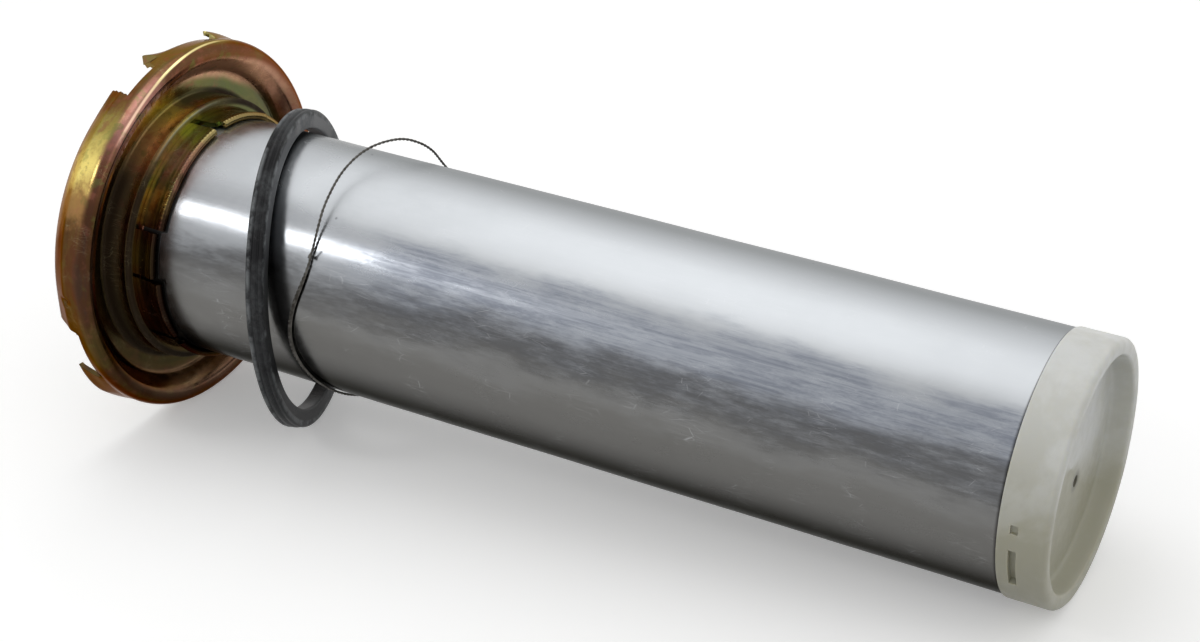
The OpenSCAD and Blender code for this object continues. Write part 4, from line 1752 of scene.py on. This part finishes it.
@dataclass
class SlottedCollar:
    """The sleeve whose fingers grip the tube, with its rolled and serrated edge."""

    gauge: float = 0.92
    columns: int = 720
    step: float = 0.9
    finger_x: float = 5.8
    top_x: float = 12.3
    tongue_x: float = 10.8
    slots: tuple[float, ...] = (94, 214, 334)
    slot_half: float = 2.1
    mouth_half: float = 3.3
    mouth_depth: float = 0.6
    tongues: tuple[tuple[float, float], ...] = ((34, 57), (154, 177), (274, 297))
    cut_half: float = 1.0
    teeth: int = 180
    tooth: float = 0.07
    lean_out: float = 0.22
    lean_along: float = 0.25
    outline: tuple[Corner, ...] = (
        Corner(-1.05, 31.4),
        Corner(-1.05, 26.0, 0.7),
        Corner(9.3, 26.0, 0.8),
        Corner(10.7, 26.5, 0.5),
        Corner(12.0, 26.55, 0.45),
        Corner(12.35, 25.75, 0.3),
        Corner(12.0, 25.2),
    )

    def _slotted(self, spot: Spot) -> bool:
        """Whether a slot between the fingers is there.

        Args:
            spot: The point asked about.

        Returns:
            True in a slot, or in a cut at a tongue's side.
        """
        if spot.x < self.finger_x:
            return False
        inside = spot.x < self.tongue_x - self.mouth_depth
        half = self.slot_half if inside else self.mouth_half
        ends = [end for tongue in self.tongues for end in tongue]
        cuts = [(clock, half) for clock in self.slots] + [(clock, self.cut_half) for clock in ends]
        return any(abs(clock_gap(spot.clock, clock)) < reach for clock, reach in cuts)

    def _form(self, spot: Spot) -> None:
        """Shortens the tongues, serrates the rolled edge and lets the fingers lean.

        Args:
            spot: The point, changed in place.
        """
        share = (self.tongue_x - self.finger_x) / (self.top_x - self.finger_x)
        for start, end in self.tongues:
            if (spot.clock - start) % 360 < end - start and spot.x > self.finger_x:
                spot.x = self.finger_x + (spot.x - self.finger_x) * share
        turn = math.radians(spot.clock)
        edge = smooth(spot.x, 10.6, 11.4)
        spot.r += self.tooth * edge * math.cos(self.teeth * turn)
        lean = noise.noise(Vector((2.2 * math.cos(turn), 2.2 * math.sin(turn), 0.4)))
        spot.r += self.lean_out * lean * smooth(spot.x, self.finger_x, 12.0)
        spot.x += self.lean_along * lean * smooth(spot.x, 8.0, 12.0)

    def build(self) -> bpy.types.Object:
        """Rolls, slots and serrates the collar.

        Returns:
            The finished object.
        """
        work = Workpiece("collar_sleeve").draw(self.outline, step=self.step, arcs=3)
        work.turn(self.columns).aim(ALONG).cut_away(self._slotted).reshape(self._form)
        work.thicken(self.gauge)
        return work.finish(FinishSet.zinc_collar, Body.SENDER, Slot.ZINC, ["crimp_collar"])


@dataclass
class AluminiumTube:
    """The plain tube, with the faint waves and dents of a handled thin wall."""

    start: float = 6.5
    end: float = 192.0
    outer: float = 25.0
    wall: float = 1.0
    columns: int = 180
    step: float = 1.5
    wave: float = 0.075
    vent_clock: float = 300.0
    vent_x: float = 18.3
    vent_r: float = 1.5
    drill_length: float = 8.0

    def _handle(self, spot: Spot) -> None:
        """Lets the wall wander by hundredths of a millimetre.

        Args:
            spot: The point, changed in place.
        """
        turn = math.radians(spot.clock)
        place = Vector((spot.x * 0.045, 1.7 * math.cos(turn), 1.7 * math.sin(turn)))
        spot.r += self.wave * noise.noise(place) * smooth(spot.x, 14.0, 30.0)

    def build(self) -> bpy.types.Object:
        """Draws the tube and drills its vent.

        Returns:
            The finished object.
        """
        outline = (Corner(self.start, self.outer), Corner(self.end, self.outer))
        work = Workpiece("tube_wall").draw(outline, step=self.step).turn(self.columns)
        work.reshape(self._handle).aim(Vector((0, 1, 0))).thicken(self.wall)
        middle = on_clock(self.vent_clock, self.vent_x, self.outer)
        way = on_clock(self.vent_clock, 0.0, 1.0)
        vent = Hole(middle, way, self.vent_r, self.drill_length)
        return work.finish(FinishSet.aluminium, Body.SENDER, Slot.ALUMINIUM, ["tube"], [vent])


@dataclass
class NylonCap:
    """The moulded end cap: plug, outer ring with latch windows and recessed face."""

    columns: int = 360
    step: float = 1.1
    ring_start: float = 192.0
    end: float = 201.2
    outer: float = 25.4
    floor_x: float = 196.8
    window_from: float = 194.3
    window_to: float = 195.8
    windows: tuple[tuple[float, float], ...] = ((186, 207), (6, 27))
    window_floor: float = 24.1
    pocket_gap: tuple[float, float] = (8.0, 11.6)
    pocket_depth: float = 0.7
    gate: tuple[float, float] = (4.0, -5.0)
    gate_r: float = 1.2
    pin_clocks: tuple[float, ...] = (90, 180)
    pin_circle: float = 16.0
    pin_r: float = 1.5
    drill_length: float = 8.0

    def outline(self) -> tuple[Corner, ...]:
        """Draws the cap's outline.

        Returns:
            Its corners, from the middle of its face to the middle of its back.
        """
        return (
            Corner(self.floor_x, 0.0),
            Corner(self.floor_x, 21.7, 0.8),
            Corner(self.end - 0.1, 22.35, 0.45),
            Corner(self.end, self.outer - 1.6),
            Corner(self.end, self.outer, 1.25),
            Corner(self.window_to, self.outer),
            Corner(self.window_from, self.outer),
            Corner(self.ring_start, self.outer, 0.3),
            Corner(self.ring_start, 23.95),
            Corner(187.0, 23.95, 0.3),
            Corner(187.0, 22.55, 0.3),
            Corner(self.floor_x - 1.6, 22.55, 0.5),
            Corner(self.floor_x - 1.6, 0.0),
        )

    def _beside(self, spot: Spot) -> bool:
        """Whether a point is on the outer ring, level with the windows."""
        return self.window_from < spot.x < self.window_to and spot.r > self.outer - 0.2

    def _window(self, spot: Spot) -> bool:
        """Whether a latch window is there."""
        return self._beside(spot) and any((spot.clock - a) % 360 < b - a for a, b in self.windows)

    def _pocket(self, spot: Spot) -> bool:
        """Whether the small shallow pocket beside a window is there.

        Args:
            spot: The point asked about.

        Returns:
            True inside a pocket.
        """
        near, far = self.pocket_gap
        gaps = [clock_gap(start, spot.clock) for start, _ in self.windows]
        return self._beside(spot) and any(near < gap < far for gap in gaps)

    def _relax(self, spot: Spot) -> None:
        """Lets the moulding stand a little out of true, as it cooled.

        Args:
            spot: The point, changed in place.
        """
        turn = math.radians(spot.clock)
        soft = noise.noise(Vector((1.4 * math.cos(turn), 1.4 * math.sin(turn), spot.x * 0.05)))
        spot.x += 0.12 * soft * smooth(spot.x, 196.0, 201.0)
        spot.r += 0.06 * soft * smooth(spot.r, 20.0, 24.0)

    def build(self) -> bpy.types.Object:
        """Moulds the cap, its windows and its small holes.

        Returns:
            The finished object.
        """
        work = Workpiece("cap_moulding").draw(self.outline(), step=self.step).turn(self.columns)
        work.sink(self._window, self.window_floor)
        work.sink(self._pocket, self.outer - self.pocket_depth).reshape(self._relax)
        gate = Vector((self.floor_x, *self.gate))
        holes = [Hole(gate, ALONG, self.gate_r, self.drill_length)]
        for clock in self.pin_clocks:
            pin = on_clock(clock, self.floor_x, self.pin_circle)
            holes.append(Hole(pin, ALONG, self.pin_r, self.drill_length))
        return work.finish(FinishSet.nylon, Body.SENDER, Slot.NYLON, ["end_cap"], holes)


@dataclass
class SealRing:
    """The loose rubber ring with three low ribs, hanging askew on the tube."""

    mean_r: float = 31.5
    thick: float = 4.0
    width: float = 3.6
    columns: int = 300
    step: float = 0.5
    twist: float = 0.10
    wander_out: float = 0.18
    wander_along: float = 0.25
    centre: Vector = field(default_factory=lambda: Vector((29.0, 0.5, -3.8)))
    yaw: float = 19.0
    pitch: float = 3.2

    def outline(self) -> tuple[Corner, ...]:
        """Draws the ring's section.

        Returns:
            Its corners, with the ribs on the outside.
        """
        inner, outer = self.mean_r - self.thick / 2, self.mean_r + self.thick / 2
        half = self.width / 2
        return (
            Corner(-half, inner, 0.5),
            Corner(-half, outer - 0.3, 0.5),
            Corner(0.7 - half, outer, 0.3),
            Corner(1.1 - half, outer - 0.45, 0.22),
            Corner(1.5 - half, outer, 0.22),
            Corner(half - 1.5, outer, 0.22),
            Corner(half - 1.1, outer - 0.45, 0.22),
            Corner(half - 0.7, outer, 0.3),
            Corner(half, outer - 0.3, 0.5),
            Corner(half, inner, 0.5),
        )

    def _slump(self, spot: Spot) -> None:
        """Lets the soft ring wander and twist a little along its way.

        Args:
            spot: The point, changed in place.
        """
        turn = math.radians(spot.clock)
        way = Vector((1.1 * math.cos(turn), 1.1 * math.sin(turn), 0.0))
        twist = self.twist * noise.noise(way + Vector((0, 0, 7.0)))
        off = spot.r - self.mean_r
        x, spot.r = spot.x, spot.r + twist * spot.x
        spot.x = x - twist * off
        spot.r += self.wander_out * noise.noise(way * 1.5)
        spot.x += self.wander_along * noise.noise(way + Vector((0, 0, 3.0)))

    def build(self) -> bpy.types.Object:
        """Moulds the ring and hangs it on the tube.

        Returns:
            The finished object.
        """
        work = Workpiece("seal_ring_rubber").draw(self.outline(), closed=True, step=self.step)
        work.turn(self.columns).reshape(self._slump)
        hang = Matrix.Rotation(math.radians(self.yaw), 4, "Z")
        hang = hang @ Matrix.Rotation(math.radians(-self.pitch), 4, "Y")
        work.lay(Matrix.Translation(self.centre) @ hang)
        return work.finish(FinishSet.rubber, Body.SEAL, Slot.RUBBER, ["seal_ring"])


@dataclass
class TwistedWire:
    """The thin tie wire: two twisted strands round the tube, a knot and its tail."""

    strand_r: float = 0.165
    twist_r: float = 0.125
    lay_length: float = 2.0
    settle: float = 0.32
    knot_clock: float = 146.0
    knot_place: tuple[float, float] = (47.25, 26.0)
    knot_steps: int = 63
    knot_turns: float = 3.4
    knot_length: float = 0.75
    knot_half: tuple[float, float] = (0.24, 0.27)
    # Strands beside the wire below the knot that stand in for its shadow and reflection on the
    # tube.
    reflection_strands_to: float = 233.0
    reflection_strand_drifts: tuple[float, float] = (0.24, 0.44)
    tail: tuple[tuple[float, float, float], ...] = (
        (146.5, 47.0, 26.2),
        (144.5, 47.4, 26.4),
        (142.0, 47.9, 26.5),
    )
    stations: tuple[tuple[float, float, float], ...] = (
        (232, 47.6, 25.8), (214, 45.4, 25.8), (204, 44.3, 25.8), (196, 43.7, 25.8),
        (188, 43.5, 25.8), (180, 43.8, 25.8), (171, 44.6, 25.8), (160, 46, 25.8),
        (152, 46.9, 25.8), (144, 47, 25.8), (134, 46.8, 26.2), (120, 46.4, 27),
        (104, 46.4, 28), (90, 47.7, 29), (76, 50.3, 29.4), (66, 52.1, 28.6),
        (58, 53, 27.6), (48, 53.4, 26.4), (30, 54.3, 25.8), (8, 55.2, 25.8),
        (-15, 55.6, 25.8), (-35, 55.2, 25.8), (-55, 54.2, 25.8), (-75, 52.6, 25.8),
        (-95, 50.8, 25.8), (-112, 49.2, 25.8),
    )
    steps: int = 30

    def _station(self, index: int) -> Vector:
        """Finds a station of the closed route, carried on past the last one.

        Args:
            index: Its number, which may be negative or past the last one.

        Returns:
            Its clock angle, place along and radius.
        """
        turns, place = divmod(index, len(self.stations))
        clock, x, radius = self.stations[place]
        return Vector((clock - 360 * turns, x, radius))

    def _route(self) -> list[Vector]:
        """Runs a smooth closed route through the stations.

        Returns:
            Its points, each as clock angle, place along and radius.
        """
        route = []
        for index in range(len(self.stations)):
            a, b, c, d = (self._station(index + k) for k in (-1, 0, 1, 2))
            for step in range(self.steps):
                t = step / self.steps
                curve = 2 * b + (c - a) * t + (2 * a - 5 * b + 4 * c - d) * t * t
                point = 0.5 * (curve + (3 * b - a - 3 * c + d) * t * t * t)
                point.z -= self.settle * smooth(-point.z, -26.8, -25.9)
                route.append(point)
        return route

    @staticmethod
    def _spline(curve: bpy.types.Curve, points: Sequence[Vector], closed: bool) -> None:
        """Adds one strand to a curve.

        Args:
            curve: The curve that holds the strands.
            points: Its points in millimetres.
            closed: Whether its end joins its start.
        """
        strand = curve.splines.new("POLY")
        strand.points.add(len(points) - 1)
        for point, target in zip(points, strand.points):
            target.co = (*(point * MM), 1.0)
        strand.use_cyclic_u = closed

    def _strands(self, curve: bpy.types.Curve) -> None:
        """Lays the two twisted strands, and below the knot a second pair beside them that stands in
        for the wire's shadow and reflection on the tube.

        Args:
            curve: The curve that takes them.
        """
        route = self._route()
        centres = [on_clock(*point) for point in route]
        count = len(centres)
        length = sum((centres[i] - centres[i - 1]).length for i in range(count))
        turns = round(length / self.lay_length)
        walked = [0.0]
        for i in range(1, count):
            walked.append(walked[-1] + (centres[i] - centres[i - 1]).length)
        for phase in (0.0, math.pi):
            points = []
            for i, centre in enumerate(centres):
                way = (centres[(i + 1) % count] - centres[i - 1]).normalized()
                out = way.cross(ALONG).normalized()
                side = way.cross(out)
                angle = math.tau * turns * walked[i] / length + phase
                off = out * math.cos(angle) + side * math.sin(angle)
                points.append(centre + self.twist_r * off)
            self._spline(curve, points, True)
        # Strands that stand in for the wire's shadow and reflection on the tube.
        for drift in self.reflection_strand_drifts:
            reflection_strand = [
                on_clock(clock, x + drift * smooth(clock, 148, 162), radius)
                for clock, x, radius in route
                if self.knot_clock - 1 < clock < self.reflection_strands_to
            ]
            self._spline(curve, reflection_strand, False)

    def _knot(self, curve: bpy.types.Curve) -> None:
        """Winds the small knot and leaves its tail standing off the tube.

        Args:
            curve: The curve that takes them.
        """
        middle = on_clock(self.knot_clock, *self.knot_place)
        around = on_clock(self.knot_clock + 90, 0.0, 1.0)
        out = on_clock(self.knot_clock, 0.0, 1.0)
        high, wide = self.knot_half
        wound = []
        for step in range(self.knot_steps + 1):
            angle = math.tau * self.knot_turns * step / self.knot_steps
            wound.append(
                middle
                + around * (self.knot_length * (step / self.knot_steps - 0.5))
                + out * (high * math.cos(angle) + 0.1)
                + ALONG * (wide * math.sin(angle))
            )
        self._spline(curve, wound, False)
        self._spline(curve, [on_clock(*point) for point in self.tail], False)

    def build(self) -> bpy.types.Object:
        """Lays the strands, knots them and makes one mesh of them.

        Returns:
            The finished object.
        """
        curve = bpy.data.curves.new("tie_wire_lay", "CURVE")
        curve.dimensions = "3D"
        curve.bevel_depth = self.strand_r * MM
        curve.bevel_resolution = 1
        curve.use_fill_caps = True
        self._strands(curve)
        self._knot(curve)
        laid = bpy.data.objects.new("tie_wire_lay", curve)
        bpy.context.scene.collection.objects.link(laid)
        graph = bpy.context.evaluated_depsgraph_get()
        mesh = bpy.data.meshes.new_from_object(laid.evaluated_get(graph))
        bpy.data.objects.remove(laid)
        piece = bpy.data.objects.new("tie_wire_twist", mesh)
        bpy.context.scene.collection.objects.link(piece)
        return hand_over(piece, FinishSet.tie, Body.WIRE, ["tie_wire"])


@dataclass(frozen=True)
class SoftenedPart:
    """A carried-over part made again from its own shape, with its edges rounded."""

    node: str
    finish: Finish
    slot: Slot
    edge: float = 0.2
    facet_angle: float = 0.5
    sharp_angle: float = 35.0

    def build(self) -> bpy.types.Object:
        """Copies the part's mesh, joins its facets and rounds its edges.

        Returns:
            The finished object.
        """
        work = Workpiece(f"{self.node}_eased")
        work.bm.from_mesh(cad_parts[self.node].data)
        bmesh.ops.scale(work.bm, vec=(1000, 1000, 1000), verts=work.bm.verts[:])
        bmesh.ops.remove_doubles(work.bm, verts=work.bm.verts[:], dist=1e-3)
        bmesh.ops.dissolve_limit(
            work.bm,
            angle_limit=math.radians(self.facet_angle),
            verts=work.bm.verts[:],
            edges=work.bm.edges[:],
            use_dissolve_boundaries=False,
        )
        work.ease(self.edge, angle=self.sharp_angle)
        return work.finish(self.finish, Body.SENDER, self.slot, [self.node])


# The set


@dataclass
class PhotographView:
    """The camera, at the photograph's place and angle."""

    place: tuple[float, float, float] = (289.34, -346.39, 236.20)
    turn: float = 28.630
    rise: float = 30.506
    lens: float = 70.03
    sensor: float = 36.0
    clip: tuple[float, float] = (0.01, 20.0)

    def build(self) -> bpy.types.Object:
        """Makes the camera and gives it to the scene.

        Returns:
            The camera.
        """
        turn, rise = math.radians(self.turn), math.radians(self.rise)
        level = math.cos(rise)
        back = Vector((math.sin(turn) * level, -math.cos(turn) * level, math.sin(rise)))
        right = Vector((math.cos(turn), math.sin(turn), 0.0))
        up = back.cross(right)
        lens = bpy.data.cameras.new("camera")
        lens.lens = self.lens
        lens.sensor_width = self.sensor
        lens.sensor_fit = "HORIZONTAL"
        lens.clip_start, lens.clip_end = self.clip
        camera = bpy.data.objects.new("camera", lens)
        turned = Matrix((right, up, back)).transposed().to_4x4()
        camera.matrix_world = Matrix.Translation(Vector(self.place) * MM) @ turned
        bpy.context.scene.collection.objects.link(camera)
        bpy.context.scene.camera = camera
        return camera


@dataclass(frozen=True)
class Softbox:
    """A rectangular lamp: place, aim, size along and across the tube, and its brightness."""

    name: str
    place: tuple[float, float, float]
    faces: tuple[float, float, float]
    size: tuple[float, float]
    glow: float
    tint: Colour = (1.0, 1.0, 1.0)

    def build(self) -> None:
        """Hangs the lamp."""
        lamp = bpy.data.lights.new(self.name, "AREA")
        lamp.shape = "RECTANGLE"
        lamp.size, lamp.size_y = (side * MM for side in self.size)
        lamp.energy = self.glow * math.pi * lamp.size * lamp.size_y
        lamp.color = self.tint
        hung = bpy.data.objects.new(self.name, lamp)
        away = (Vector(self.place) - Vector(self.faces)).normalized()
        upright = away.cross(ALONG).normalized()
        turn = Matrix((upright.cross(away), upright, away)).transposed().to_4x4()
        hung.matrix_world = Matrix.Translation(Vector(self.place) * MM) @ turn
        bpy.context.scene.collection.objects.link(hung)


@dataclass
class Studio:
    """Pale floor under the flange's bead and the cap's rim, white surround and soft lamps."""

    floor_r: float = 500.0
    floor_x: float = 100.0
    floor_gap: float = 0.1
    bead: tuple[float, float] = (1.9, -39.95)
    cap: tuple[float, float] = (201.2, -25.45)
    fill: float = 0.64
    lamps: tuple[Softbox, ...] = (
        Softbox("overhead", (-70, 128, 520), (60, 20, 0), (360, 516), 0.95),
        Softbox("flange_glint", (-234, -310, 320), (36, -10, 10), (125, 95), 5.0),
        Softbox("front_fill", (480, -300, 520), (140, 0, 0), (420, 420), 0.55),
    )

    def _floor(self) -> None:
        """Lays the floor disc under the two rims that the unit rests on."""
        rise = (self.cap[1] - self.bead[1]) / (self.cap[0] - self.bead[0])
        work = bmesh.new()
        bmesh.ops.create_circle(work, cap_ends=True, segments=96, radius=self.floor_r * MM)
        mesh = bpy.data.meshes.new("studio_floor")
        work.to_mesh(mesh)
        work.free()
        mesh.materials.append(PaleFloor("pale_floor").material())
        floor = bpy.data.objects.new("studio_floor", mesh)
        height = self.bead[1] + (self.floor_x - self.bead[0]) * rise - self.floor_gap
        turn = Matrix.Rotation(-math.atan(rise), 4, "Y")
        floor.matrix_world = Matrix.Translation(Vector((self.floor_x, 0, height)) * MM) @ turn
        bpy.context.scene.collection.objects.link(floor)

    def _surround(self) -> None:
        """Makes the world white to the eye and in reflections, and a plain fill elsewhere."""
        world = bpy.data.worlds.new("surround")
        bpy.context.scene.world = world
        world.use_nodes = True
        bench = Bench(world.node_tree)
        level = bench.spread(bench.seen(), 0.0, 1.0, self.fill, 1.0)
        sky = world.node_tree.nodes["Background"]
        bench.fill(sky, Strength=level, Color=(1.0, 1.0, 1.0))

    def build(self) -> None:
        """Sets up floor, surround and lamps."""
        self._floor()
        self._surround()
        for lamp in self.lamps:
            lamp.build()


def dress_carried() -> None:
    """Gives every carried-over node that still shows its own finish."""
    for node, finish in FinishSet.carried.items():
        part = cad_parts[node]
        if not part.material_slots:
            part.data.materials.append(None)
        for place in part.material_slots:
            place.material = finish.material()
        LOG.info("%s keeps its shape and wears %s", node, finish.name)


def main() -> None:
    """Builds the set, the outer pieces and the finishes, in order."""
    logging.basicConfig(level=logging.INFO, format="%(message)s")
    bpy.context.scene.view_settings.view_transform = "Standard"
    PhotographView().build()
    Studio().build()
    for maker in (
        PressedFlange(),
        SlottedCollar(),
        AluminiumTube(),
        NylonCap(),
        SealRing(),
        TwistedWire(),
        SoftenedPart("head_cup", FinishSet.zinc_cup, Slot.ZINC, 0.25),
        SoftenedPart("terminal_block", FinishSet.block, Slot.BLOCK, 0.25),
        SoftenedPart("signal_blade", FinishSet.brass, Slot.BRASS, 0.12),
        SoftenedPart("warning_blade", FinishSet.brass, Slot.BRASS, 0.12),
        SoftenedPart("ground_blade", FinishSet.brass, Slot.BRASS, 0.12),
        SoftenedPart("terminal_rivets", FinishSet.rivet, Slot.STEEL, 0.2),
    ):
        maker.build()
    dress_carried()


if __name__ == "__main__":
    main()
